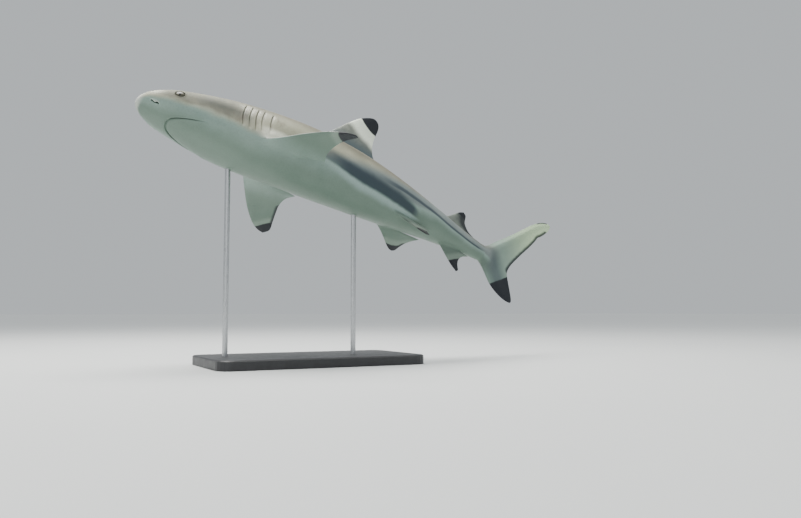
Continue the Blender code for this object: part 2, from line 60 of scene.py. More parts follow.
def natural_spline(x, y):
    n = len(x)
    h = np.diff(x)
    A = np.zeros((n, n))
    r = np.zeros(n)
    A[0, 0] = A[-1, -1] = 1
    for i in range(1, n-1):
        A[i, i-1], A[i, i], A[i, i+1] = h[i-1], 2*(h[i-1]+h[i]), h[i]
        r[i] = 6*((y[i+1]-y[i])/h[i]-(y[i]-y[i-1])/h[i-1])
    m = np.linalg.solve(A, r)

    def f(q):
        q = np.asarray(q, float)
        i = np.clip(np.searchsorted(x, q)-1, 0, n-2)
        a, b, hh = x[i+1]-q, q-x[i], h[i]
        return (m[i]*a**3+m[i+1]*b**3)/(6*hh)+(y[i]/hh-m[i]*hh/6)*a+(y[i+1]/hh-m[i+1]*hh/6)*b
    return f


ROOT_ST = np.sqrt(ST[:, 0])
f_top, f_bot, f_wid = (natural_spline(ROOT_ST, ST[:, k]) for k in (1, 2, 3))


def skin(x, th, off=0.0):
    """Point on the straight body: station x, angle th from the back (+ to the right)."""
    x, th = np.broadcast_arrays(np.asarray(x, float), np.asarray(th, float))
    t = np.sqrt(np.clip(x, 0, None))
    top, bot, w = f_top(t), f_bot(t), f_wid(t)
    zc = 0.15*(top+bot)
    c, s = np.cos(th), np.sin(th)
    h = np.maximum(np.where(c > 0, top-zc, zc-bot), 1e-9)
    w = np.maximum(w, 1e-9)
    square = np.interp(x, [0, 4, 9, 14, 20, 28, 38, 60, 76], [2.1, 2.5, 2.95, 3.1, 2.8, 2.35, 2.15, 2.05, 2.05])
    n = np.where(c > 0, 2.05, square)
    r = 1/((np.abs(c)/h)**n+(np.abs(s)/w)**n)**(1/n)+off
    return np.stack([x, r*s, zc+r*c], -1)


KX = np.array([0, 20, 40, 60, 75, 90, 100.])
KC = np.radians([0.30, 0.30, 0.40, 0.23, -0.35, -0.46, -0.46])
SX = np.linspace(0, 100, 401)
SK = np.interp(SX, KX, KC)


def running_sum(v):
    return np.concatenate([[0], np.cumsum((v[1:]+v[:-1])/2*np.diff(SX))])


HEAD = running_sum(SK)
HEAD -= np.interp(30, SX, HEAD)
CX = running_sum(np.cos(HEAD))
CX -= np.interp(30, SX, CX)-30
CY = running_sum(np.sin(HEAD))
CY -= np.interp(30, SX, CY)


def rot_z(a):
    return np.array([[np.cos(a), -np.sin(a), 0], [np.sin(a), np.cos(a), 0], [0, 0, 1]])


def rot_y(a):
    return np.array([[np.cos(a), 0, np.sin(a)], [0, 1, 0], [-np.sin(a), 0, np.cos(a)]])


def rot_x(a):
    return np.array([[1, 0, 0], [0, np.cos(a), -np.sin(a)], [0, np.sin(a), np.cos(a)]])


TURN = rot_z(YAW) @ rot_y(PITCH) @ rot_x(BANK)


def pose(P):
    P = np.asarray(P, float)
    a = np.interp(P[..., 0], SX, HEAD)
    Q = np.stack([np.interp(P[..., 0], SX, CX)-P[..., 1]*np.sin(a),
                  np.interp(P[..., 0], SX, CY)+P[..., 1]*np.cos(a), P[..., 2]], -1)
    return (Q-CENTRE) @ TURN.T*UNIT+np.array([0, 0, LIFT])


def ease(v, a, b):
    """Smooth 0 to 1 as v goes from a to b."""
    t = np.clip((np.asarray(v, float)-a)/(b-a), 0, 1)
    return t*t*(3-2*t)


def bump(v, centre, width):
    return np.exp(-((np.asarray(v, float)-centre)/width)**2)


def unit(v):
    return v/np.maximum(np.linalg.norm(v, axis=-1)[..., None], 1e-12)


# ------------------------------------------------------------------ mouth line, gill slits and soft forms of the head
MOUTH_FRONT, MOUTH_REACH, MOUTH_HALF, MOUTH_BEND = 5.7, 6.0, 4.72, 2.5
MOUTH_BACK = MOUTH_FRONT+MOUTH_REACH
PHI = np.radians(np.linspace(0, 80, 161))        # angle from the belly line
_lo, _hi = np.full(161, 3.0), np.full(161, 16.0)
for _ in range(40):
    _m = (_lo+_hi)/2
    _y = skin(_m, pi-PHI)[..., 1]
    _over = _m-MOUTH_FRONT-MOUTH_REACH*np.abs(_y/MOUTH_HALF)**MOUTH_BEND > 0
    _hi, _lo = np.where(_over, _m, _hi), np.where(_over, _lo, _m)
MOUTH_ST = np.minimum(_hi, MOUTH_BACK)
CORNER = PHI[np.argmax(_hi >= MOUTH_BACK)]        # where the line ends, from the belly
MOUTH_Y = skin(MOUTH_ST, pi-PHI)[..., 1]
MOUTH_TURN = 1/np.sqrt(1+(MOUTH_BEND*MOUTH_REACH/MOUTH_HALF*np.abs(MOUTH_Y/MOUTH_HALF)**(MOUTH_BEND-1))**2)
_k = np.ones(9)/9
MOUTH_SMOOTH = np.convolve(np.pad(MOUTH_ST, 4, mode='edge'), _k, 'valid')

GILLS = (17.45, 18.6, 19.7, 20.75, 22.3)
LOW = (110, 111, 111, 109, 105)


def from_belly(th):
    return pi-np.abs((np.asarray(th)+pi) % (2*pi)-pi)


def from_back(th):
    return np.degrees(pi-from_belly(th))


def gill_lean(th):
    return 0.35*((np.clip(from_back(th), 58, 118)-88)/24)**2


def warp(xb, th):
    """Even stations to stations whose rings run along the mouth and along the gill slits."""
    xb, th = np.broadcast_arrays(np.asarray(xb, float), np.asarray(th, float))
    shift = np.interp(from_belly(th), PHI, MOUTH_SMOOTH)-MOUTH_BACK
    w = np.where(xb < MOUTH_BACK, xb/MOUTH_BACK, np.clip((16.6-xb)/(16.6-MOUTH_BACK), 0, 1))
    g = ease(xb, 15.6, 16.6)*(1-ease(xb, 22.7, 24.6))
    return xb+shift*w+gill_lean(th)*g


def relief(x, th):
    """Height of the small forms over the plain body, and how much painted shade darkens a crease."""
    b, a = from_belly(th), from_back(th)
    # closed mouth: an upper lip over a slightly drawn-in lower jaw
    d = (x-np.interp(b, PHI, MOUTH_ST))*np.interp(b, PHI, MOUTH_TURN)
    on = 1-ease(np.degrees(b), np.degrees(CORNER)-5, np.degrees(CORNER)+2)
    side = np.where(d < 0, 0.085, 0.13)
    near = np.exp(-(d/side)**2)
    h = on*(-0.27*near+0.055*bump(d, -0.42, 0.34)+0.05*bump(d, 0.50, 0.38)
            - 0.10*np.where(d > 0, np.exp(-d/1.5), 0)*ease(d, 0, 0.1))
    # painted shade along the mouth groove, faint at the front and deepest toward the corners
    dark = (0.12+0.74*ease(np.degrees(b), 16, 46))*on*np.exp(-(d/(side*(1.2+0.6*ease(np.degrees(b), 10, 40))))**2)
    # short fold behind each mouth corner, cheek over the jaw joint, brow over the eye, hollow before it
    h = h+0.10*bump(x, 13.6, 1.5)*bump(a, 118, 15)-0.05*bump(x, 12.2, 0.6)*bump(a, 124, 6)
    h = h+0.10*bump(x, 6.6, 1.4)*bump(a, 73, 7)+0.05*bump(x, 6.9, 1.5)*bump(a, 97, 6)
    h = h-0.05*bump(x, 4.4, 1.0)*bump(a, 87, 12)-0.06*bump(x, 9.5, 1.4)*bump(a, 87, 12)
    # rim round the nostril
    h = h+0.05*bump(x, 3.3, 1.0)*bump(a, 112, 10)
    # gill slits: each flap stands a little proud, then drops to the next
    for g, low in zip(GILLS, LOW):
        s = x-(g+gill_lean(th)-0.2)
        e = ease(a, 61, 68)*(1-ease(a, low-3, low+3))
        h = h+e*(0.06*np.exp(np.clip(s, -9, 0)/0.40)*(s <= 0.01)-0.25*np.exp(-np.clip(s, 0, 9)/0.34)*(s > 0.01))
        # painted shade inside each gill slit, just behind its flap
        dark = np.maximum(dark, 0.44*e*np.where(s > 0.01, np.exp(-((s-0.04)/0.10)**2), 0.0))
    # pits before the tail fin and a soft keel between them
    h = h-0.13*bump(x, 74.75, 0.34)*bump(a, 0, 38)-0.09*bump(x, 75.1, 0.34)*bump(a, 180, 34)
    h = h+0.05*bump(x, 73.0, 3.5)*bump(a, 90, 16)
    return h, dark


def body(x, th, fx=None, fth=None):
    """Point of the finished skin; fx, fth are where the relief is read."""
    e = 1e-3
    P = skin(x, th)
    n = unit(np.cross(skin(x+e, th)-P, skin(x, th+e)-P))
    c = np.stack([np.broadcast_to(x, P.shape[:-1]), np.zeros(P.shape[:-1]), np.zeros(P.shape[:-1])], -1)
    n = n*np.sign(((P-c)*n).sum(-1))[..., None]
    h, dark = relief(x if fx is None else fx, th if fth is None else fth)
    return P+h[..., None]*n, dark, n


# ------------------------------------------------------------------ fins
def curve(pts, at):
    """Centripetal Catmull-Rom through pts, sampled at fractions of its length."""
    p = np.asarray(pts, float)
    p = np.vstack([2*p[0]-p[1], p, 2*p[-1]-p[-2]])
    out = []
    for i in range(1, len(p)-2):
        a, b, c, d = p[i-1], p[i], p[i+1], p[i+2]
        t1 = np.linalg.norm(b-a)**.5
        t2 = t1+np.linalg.norm(c-b)**.5
        t3 = t2+np.linalg.norm(d-c)**.5
        t = np.linspace(t1, t2, 33)[:, None]
        A1 = (t1-t)/t1*a+t/t1*b
        A2 = (t2-t)/(t2-t1)*b+(t-t1)/(t2-t1)*c
        A3 = (t3-t)/(t3-t2)*c+(t-t2)/(t3-t2)*d
        B1 = (t2-t)/t2*A1+t/t2*A2
        B2 = (t3-t)/(t3-t1)*A2+(t-t1)/(t3-t1)*A3
        out.append((t2-t)/(t2-t1)*B1+(t-t1)/(t2-t1)*B2)
    q = np.vstack(out)
    q = q[np.concatenate([[True], np.linalg.norm(np.diff(q, axis=0), axis=1) > 1e-9])]
    L = np.concatenate([[0], np.cumsum(np.linalg.norm(np.diff(q, axis=0), axis=1))])
    u = np.asarray(at, float)*L[-1]
    return np.stack([np.interp(u, L, q[:, k]) for k in range(2)], -1)


# outlines in (station, height over the root); mark = the line where the black tip begins,
# rim = width of the dark trailing margin, flare = how far the fin's foot spreads on the body
FINS = {
    'first_dorsal_fin': dict(
        le=[(32.0, 0), (34.1, 1.75), (36.3, 4.1), (38.7, 6.95), (41.1, 9.4), (42.6, 10.45), (43.5, 10.9), (44.15, 11.05)],
        tr=[(42.3, 0), (44.4, 0.35), (46.4, 0.7)],
        te=[(46.4, 0.7), (45.2, 2.2), (44.7, 4.6), (44.95, 7.0), (45.33, 8.9), (45.36, 9.75), (45.18, 10.42), (44.75, 10.88), (44.15, 11.05)],
        th=(0, 0), span=(0, 0, 1), lean=(0, -0.9, 0), ref=11.1, T=0.42,
        mark=((41.2, 9.3), (44.8, 7.4)), bow=0.42, rim=0.0, flare=(1.0, 0.62), rows=38, across=8),
    'second_dorsal_fin': dict(
        le=[(63.6, 0), (65.7, 1.3), (67.4, 2.9), (68.9, 4.3), (70.0, 4.95)],
        tr=[(69.2, 0), (71.3, 0.3), (73.4, 0.6)],
        te=[(73.4, 0.6), (71.7, 1.3), (70.7, 2.7), (70.75, 3.9), (70.7, 4.6), (70.0, 4.95)],
        th=(0, 0), span=(0, 0, 1), lean=(0, -0.35, 0), ref=5.0, T=0.26,
        mark=((68.2, 3.75), (70.9, 3.3)), rim=2.7, rim_from=(-0.2, 0.05), flare=(0.55, 0.34), rows=26, across=8),
    'anal_fin': dict(
        le=[(63.6, 0), (64.5, 1.0), (65.8, 2.55), (67.2, 4.0), (68.75, 5.2)],
        tr=[(69.4, 0), (70.7, 0.25), (72.0, 0.5)],
        te=[(72.0, 0.5), (70.2, 1.25), (69.25, 2.3), (69.05, 3.5), (69.25, 4.8), (68.75, 5.2)],
        th=(180, 180), span=(0, 0, -1), lean=(0, 0, 0), ref=5.4, T=0.24,
        mark=((66.4, 3.3), (69.4, 1.9)), rim=0.0, flare=(0.55, 0.34), rows=26, across=8),
    'pectoral_fin_left': dict(
        le=[(21.6, 0), (24.5, 2.8), (26.7, 5.6), (28.4, 7.95), (30.4, 10.3), (32.0, 11.8), (33.2, 12.4)],
        tr=[(28.2, 0), (30.4, 0.7), (32.7, 1.5)],
        te=[(32.7, 1.5), (32.15, 3.4), (32.35, 6.4), (32.8, 8.8), (33.4, 10.6), (33.75, 12.0), (33.2, 12.4)],
        th=(-121.5, -128), span=(0, -1, -0.09), arch=0.9, lean=(0, 0, 0), ref=12.4, T=0.50,
        mark=((30.9, 10.7), (32.9, 8.2)), bow=0.2, rim=0.0, flare=(0.85, 0.6), rows=36, across=8),
    'pectoral_fin_right': dict(
        le=[(21.4, 0), (22.8, 3.4), (25.3, 8.4), (27.8, 11.7), (29.7, 13.1), (31.2, 13.5)],
        tr=[(28.2, 0), (30.4, 0.6), (32.5, 1.2)],
        te=[(32.5, 1.2), (31.4, 2.6), (30.95, 5.0), (31.3, 7.5), (31.85, 10.2), (32.2, 12.5), (31.2, 13.5)],
        th=(121.5, 128), span=(0, 1, -0.16), arch=0.6, lean=(0, 0, 0), ref=13.5, T=0.50,
        mark=((29.0, 12.35), (31.8, 10.2)), bow=0.1, rim=0.58, rim_from=(0.20, 0.42), flare=(0.85, 0.6), rows=36, across=8),
    'pelvic_fin_left': dict(
        le=[(49.6, 0), (51.4, 1.3), (53.2, 2.6), (55.0, 3.85), (56.2, 4.55)],
        tr=[(54.8, 0), (57.0, 0.3), (59.2, 0.6)],
        te=[(59.2, 0.6), (58.0, 1.5), (57.3, 2.7), (57.1, 3.8), (56.9, 4.5), (56.2, 4.55)],
        th=(-146, -150), span=(0, -0.60, -0.79), lean=(0, 0, 0), ref=4.6, T=0.24,
        mark=((54.2, 3.3), (57.8, 2.5)), rim=0.35, flare=(0.5, 0.32), rows=24, across=6),
    'pelvic_fin_right': dict(
        le=[(49.6, 0), (51.4, 1.3), (53.1, 2.7), (54.6, 3.95), (55.7, 4.68), (56.5, 4.88)],
        tr=[(54.8, 0), (57.45, 0.21), (60.1, 0.42)],
        te=[(60.1, 0.42), (58.9, 1.3), (58.15, 2.1), (57.65, 2.95), (57.35, 3.8), (57.1, 4.6), (56.5, 4.88)],
        th=(146, 150), span=(0, 0.9, -0.43), lean=(0, 0, 0), ref=4.6, T=0.24,
        mark=((53.8, 3.3), (58.0, 2.55)), bow=-0.5, rim=0.75, rim_from=(0.32, 0.52), flare=(0.5, 0.32), rows=24, across=6),
}
LOBE = 0.12
EDGE = 0.034


def fin_root(f, x):
    return np.radians(np.interp(x, [f['le'][0][0], f['tr'][0][0]], f['th']))


def fin_mid(f, x, h):
    x, h = np.broadcast_arrays(np.asarray(x, float), np.asarray(h, float))
    s = np.array(f['span'], float)
    s /= np.linalg.norm(s)
    q = h/f['ref']
    return (skin(x, fin_root(f, x))+h[..., None]*s+np.array(f['lean'])*(q*q)[..., None]
            + np.array([0, 0, f.get('arch', 0)])*(4*q*(1-q))[..., None])


def foil(u):
    return (0.2969*np.sqrt(u)-0.1260*u-0.3516*u**2+0.2843*u**3-0.1015*u**4)/0.1*0.999


def fin_faces(f, u, v):
    """Right-hand and left-hand faces of a fin on a grid of span fractions v by chord fractions u."""
    le = curve(f['le'], v)
    te = np.where((v < LOBE)[:, None], curve(f['tr'], np.clip(v/LOBE, 0, 1)),
                  curve(f['te'], np.clip((v-LOBE)/(1-LOBE), 0, 1)))
    xh = le[:, None]*(1-u[None, :, None])+te[:, None]*u[None, :, None]
    x, h = xh[..., 0], xh[..., 1]
    chord = np.linalg.norm(te-le, axis=-1)[:, None]
    M = fin_mid(f, x, h)
    e = 1e-3
    n = unit(np.cross(fin_mid(f, x+e, h)-fin_mid(f, x-e, h), fin_mid(f, x, h+e)-fin_mid(f, x, h-e)))
    front = np.sqrt(np.clip(1-(1-np.clip(u[None]*chord/0.06, 0, 1))**2, 0, 1))
    back = np.sqrt(np.clip(1-(1-np.clip((1-u[None])*chord/(1.3*EDGE), 0, 1))**2, 0, 1))
    t = ((f['T']*(1-v[:, None])**0.85+0.05)*foil(u)[None]+EDGE*front)*back
    fade = 1-ease(v, 0, 0.16)[:, None, None]
    th = fin_root(f, x[0])
    rad = np.linalg.norm((skin(x[0], th)-skin(x[0], th+pi))[:, 1:], axis=-1)/2
    turn = np.sign(np.sum(n[0]*(skin(x[0], th+0.01)-skin(x[0], th-0.01)), -1))
    out = []
    for side in (1, -1):                          # toward growing angle, then toward falling angle
        s = side*turn
        P = M+(s*t)[..., None]*n
        C = skin(x[0], th+side*t[0]/rad)
        out.append((P+fade*(C-P[0])[None], np.stack([x[0], th+side*t[0]/rad], -1)))
    return out, xh, chord, rad


# ------------------------------------------------------------------ the skin: rings by columns, with holes where fins and eyes join
class Net:
    """Vertices with named values, and faces, kept as arrays until the mesh is made."""

    KEYS = ('st', 'an', 'fin', 'tip', 'rim', 'dark', 'band', 'line', 'tail', 'ray', 'lobe', 'under', 'stripe', 'pale', 'chord', 'hub')

    def __init__(self):
        self.P, self.A, self.F, self.n = [], [], [], 0

    def add(self, P, **vals):
        P = np.asarray(P, float).reshape(-1, 3)
        A = np.zeros((len(P), len(self.KEYS)))
        A[:, self.KEYS.index('rim')] = 9
        A[:, self.KEYS.index('tip')] = -9
        A[:, self.KEYS.index('line')] = 60
        A[:, self.KEYS.index('band')] = 9
        for k, v in vals.items():
            A[:, self.KEYS.index(k)] = np.broadcast_to(v, np.shape(v) or (1,)).reshape(-1) if np.shape(v) else v
        self.P.append(P)
        self.A.append(A)
        self.n += len(P)
        return np.arange(self.n-len(P), self.n)

    def strip(self, a, b, closed=True):
        a, b = np.asarray(a), np.asarray(b)
        if closed:
            a, b = np.append(a, a[0]), np.append(b, b[0])
        self.F += list(zip(a[:-1], a[1:], b[1:], b[:-1]))


net = Net()


def spaced(*spans):
    out = [np.linspace(a, b, n, endpoint=False) for a, b, n in spans]
    return np.concatenate(out+[[spans[-1][1]]])


near_mouth = np.array([-1.0, -.8, -.62, -.46, -.33, -.23, -.155, -.1, -.055, -.02, .015, .055, .1, .155, .22, .3, .4, .53, .68, .85])
gill_offsets = np.array([-.62, -.44, -.29, -.17, -.08, -.015, .02, .07, .14, .23, .34, .48])
gill_rings = []
for k, g in enumerate(GILLS):
    o = gill_offsets
    if k:
        o = o[o > (GILLS[k-1]-g)+.5]
    gill_rings.append(g-0.2+o)
gill_rings = np.concatenate(gill_rings)
XB = np.concatenate([
    [0.012, 0.05, 0.11, 0.19, 0.29, 0.41, 0.54, 0.68, 0.83, 0.99],
    spaced((1.15, 2.5, 9), (2.5, 5.4, 28), (5.4, 5.7, 2), (5.7, 8.2, 25), (8.2, 10.55, 16))[:-1],
    MOUTH_BACK+near_mouth*1.05,
    spaced((MOUTH_BACK+1.05, 16.55, 24))[:-1],
    gill_rings,
    spaced((22.75, 24.6, 10), (24.6, 75.5, 128))])
XB = np.sort(XB)
XB = XB[np.concatenate([[True], np.diff(XB) > 0.008])]
R = len(XB)

C = 172
_t = np.linspace(0, pi, 4001)
_w = 1+0.55*np.exp(-((np.degrees(_t)-98)/34)**2)
_s = np.concatenate([[0], np.cumsum((_w[1:]+_w[:-1])/2)])
HALF = np.interp(np.linspace(0, 1, C//2+1), _s/_s[-1], _t)
TH0 = np.concatenate([HALF, 2*pi-HALF[-2:0:-1]])
X0 = warp(XB[:, None], TH0[None, :])
T0 = np.broadcast_to(TH0[None, :], X0.shape).copy()
X, T = X0.copy(), T0.copy()


def radius(x, th):
    p = skin(x, th)
    return np.hypot(p[..., 1], p[..., 2])


holes = []                                     # (i0, i1, j0, j1) in rings and columns
gone = np.zeros((R, C), bool)                  # vertices inside a hole
fixed = np.zeros((R, C), bool)


def rim_loop(i0, i1, j0, j1):
    """Border of an index rectangle from the middle of its front edge, first toward growing columns."""
    m = (j0+j1)//2
    loop = [(i0, j) for j in range(m, j1)]+[(i, j1) for i in range(i0, i1)]
    loop += [(i1, j) for j in range(j1, j0, -1)]+[(i, j0) for i in range(i1, i0, -1)]
    loop += [(i0, j) for j in range(j0, m)]
    return [(i, j % C) for i, j in loop]


def open_hole(i0, i1, j0, j1, targets):
    loop = rim_loop(i0, i1, j0, j1)
    for (i, j), (x, th) in zip(loop, targets):
        X[i, j] = x
        T[i, j] = T0[i, j]+((th-T0[i, j]+pi) % (2*pi)-pi)
        fixed[i, j] = True
    for i in range(i0+1, i1):
        for j in range(j0+1, j1):
            gone[i, j % C] = True
    holes.append((i0, i1, j0, j1))
    return loop


def nearest(values, v):
    return int(np.argmin(np.abs(values-v)))


def column_of(th):
    return nearest(TH0, th % (2*pi))


def outward(pts):
    """Outward unit normals of a closed loop of 2-D points."""
    d = np.roll(pts, -1, 0)-np.roll(pts, 1, 0)
    n = unit(np.stack([d[:, 1], -d[:, 0]], -1))
    c = pts.mean(0)
    if ((pts-c)*n).sum() < 0:
        n = -n
    return n


wings = []
for name, f in FINS.items():
    xa, xe = f['le'][0][0], f['tr'][0][0]
    th_mid = fin_root(f, (xa+xe)/2)
    j_mid = column_of(th_mid)
    half = f['across']//2
    xs = X0[:, j_mid % C]
    i0, i1 = nearest(xs, xa-f['flare'][0]), nearest(xs, xe+0.14)
    j0, j1 = j_mid-half, j_mid+half
    N = i1-i0
    nose = 0.0035*(np.arange(half+1)/half)**2*(1 if f['ref'] > 8 else 1.6)
    s = np.linspace(0, 1, N+1)
    body_u = nose[-1]+(0.992-nose[-1])*(s**1.35*0.55+s*0.45)
    tail_u = 0.992+0.008*np.sin(np.linspace(0, pi/2, half+1))
    u = np.concatenate([nose[:-1], body_u, tail_u[1:]])
    faces, xh, chord, rad = fin_faces(f, u, np.array([0.0, 0.01]))
    root = np.vstack([faces[0][1], faces[1][1][-2:0:-1]])           # lens on the body, closed loop
    uu = np.concatenate([u, u[-2:0:-1]])
    rr = np.concatenate([rad, rad[-2:0:-1]])
    flat = np.stack([root[:, 0], root[:, 1]*rr.mean()], -1)
    n2 = outward(flat)
    k = np.ones(3)/3
    for _ in range(3):                                             # soften the corner at the trailing end
        n2 = unit((np.roll(n2, 1, 0)+n2*2+np.roll(n2, -1, 0)))
    D = f['flare'][1]+(f['flare'][0]-f['flare'][1])*(1-ease(uu, 0, 0.12))
    D = 0.13+(D-0.13)*(1-ease(uu, 0.70, 0.985))
    step = n2*D[:, None]/np.array([1.0, rr.mean()])
    loop = open_hole(i0, i1, j0, j1, root+step)
    wings.append(dict(name=name, f=f, u=u, uu=uu, root=root, step=step, loop=loop))

# eye and nostril openings: an ellipse in the skin, given in stations along and in units round the body
EYE_ST, EYE_TH, EYE_DEPTH = 6.8, radians(86), 0.55
EYE_R = (1.03, 0.77, 0.90)
EYE_OPEN = (0.87, 0.66)
NOSE_TILT = radians(15)
pockets = []
for s, tag in ((-1, 'left'), (1, 'right')):
    for kind, xc, ac, (ra, rb), tilt, scale in (
            ('eye', EYE_ST, EYE_TH, EYE_OPEN, 0.0, 1.36),
            ('nostril', 3.3, radians(112.5), (0.78, 0.19), NOSE_TILT, 1.55)):
        th_c = s*ac
        j_mid = column_of(th_c)
        r_c = float(radius(xc, th_c))
        grow_t = np.gradient(TH0)[j_mid]*r_c
        xs = X0[:, j_mid]
        reach = ra*scale*(0.80 if kind == 'eye' else 0.62)
        wide = rb*scale*0.80 if kind == 'eye' else ra*scale*0.55
        i0, i1 = nearest(xs, xc-reach), nearest(xs, xc+reach)
        half = max(2, int(round(wide/grow_t)))
        j0, j1 = j_mid-half, j_mid+half
        loop = rim_loop(i0, i1, j0, j1)
        ij = np.array(loop)
        dx = X0[ij[:, 0], ij[:, 1]]-xc
        dt = ((T0[ij[:, 0], ij[:, 1]]-th_c+pi) % (2*pi)-pi)*r_c
        phi = np.arctan2(dt, dx)
        rot = s*tilt
        far = 1/np.sqrt((np.cos(phi-rot)/ra)**2+(np.sin(phi-rot)/rb)**2)
        if kind == 'nostril':                                      # even steps round the long slit
            order = np.unwrap(phi)
            q = np.linspace(0, 2*pi, 721)
            e = np.stack([ra*np.cos(q)*np.cos(rot)-rb*np.sin(q)*np.sin(rot),
                          ra*np.cos(q)*np.sin(rot)+rb*np.sin(q)*np.cos(rot)], -1)
            L = np.concatenate([[0], np.cumsum(np.linalg.norm(np.diff(e, axis=0), axis=1))])
            turn = np.sign(order[5]-order[0])
            start = np.interp((phi[0]-rot) % (2*pi), q, L)
            mix = np.arange(len(loop))/len(loop)
            want = (start+turn*mix*L[-1]) % L[-1]
            e0 = np.stack([np.interp(want, L, e[:, k]) for k in (0, 1)], -1)
        else:
            e0 = np.stack([far*np.cos(phi), far*np.sin(phi)], -1)
        targets = np.stack([xc+scale*e0[:, 0], th_c+scale*e0[:, 1]/r_c], -1)
        if kind == 'nostril':                                      # outer loop rounder than the slit itself
            out0 = outward(e0)
            targets = np.stack([xc+e0[:, 0]+0.20*out0[:, 0], th_c+(e0[:, 1]+0.20*out0[:, 1])/r_c], -1)
        open_hole(i0, i1, j0, j1, targets)
        pockets.append(dict(kind=kind, s=s, xc=xc, th=th_c, r=r_c, e0=e0, loop=loop, targets=targets))

# let the rings and columns round the holes follow their borders
near = np.zeros((R, C), bool)
for i0, i1, j0, j1 in holes:
    big = (i1-i0) > 20
    ki, kj = (12, 9) if big else (9, 7)
    for i in range(max(2, i0-ki), min(R-2, i1+ki+1)):
        near[i, [j % C for j in range(j0-kj, j1+kj+1)]] = True
near &= ~fixed & ~gone
near &= ~((from_back(T0) < 110.5) & (X0 < 23.3) & (X0 > 15))
DX, DT = X-X0, T-T0
for _ in range(900):
    for D in (DX, DT):
        a = np.zeros_like(D)
        a[1:-1] = (D[2:]+D[:-2]+np.roll(D, 1, 1)[1:-1]+np.roll(D, -1, 1)[1:-1])/4
        D[near] = a[near]
X = X0+np.where(gone, 0, DX)
T = T0+np.where(gone, 0, DT)


# ------------------------------------------------------------------ markings as plain measures of place
def band_line(x):
    """Angle from the back of the middle of the dark flank band."""
    return np.interp(x, [28, 33.3, 38.5, 44, 49.5, 53.0, 56.5], [92, 98, 107, 110, 114, 121, 134])


def marks(x, th):
    a = from_back(th)
    band = (a-band_line(x))/np.interp(x, [28, 34, 44, 50, 53.5, 56.5], [10, 13, 16, 16, 13, 6])
    line = a-np.interp(x, [46, 52, 58, 62, 66, 70, 73, 76], [86, 83, 83, 89, 96, 103, 107, 109])
    stripe = ease(x, 8.0, 12.5)*(1-ease(x, 17.5, 21.0))*bump(a, np.interp(x, [8, 12, 16, 20], [86, 88, 89, 99]), np.interp(x, [8, 12, 17, 20], [8, 12, 14, 12]))
    return dict(st=x, an=a, band=np.clip(band, -9, 9), line=np.clip(line, -60, 60), stripe=stripe)


P, dark, normal = body(X, T, X0, T0)
ids = -np.ones((R, C), int)
keep = ~gone
ids[keep] = net.add(P[keep], dark=dark[keep], **{k: v[keep] for k, v in marks(X, T).items()})
snout = net.add(np.zeros((1, 3)), st=0, an=60)[0]
for j in range(C):
    net.F.append((snout, ids[0, (j+1) % C], ids[0, j]))
solid_cell = np.ones((R-1, C), bool)
for i0, i1, j0, j1 in holes:
    for j in range(j0, j1):
        solid_cell[i0:i1, j % C] = False
for i in range(R-1):
    for j in range(C):
        if solid_cell[i, j]:
            k = (j+1) % C
            net.F.append((ids[i, j], ids[i, k], ids[i+1, k], ids[i+1, j]))

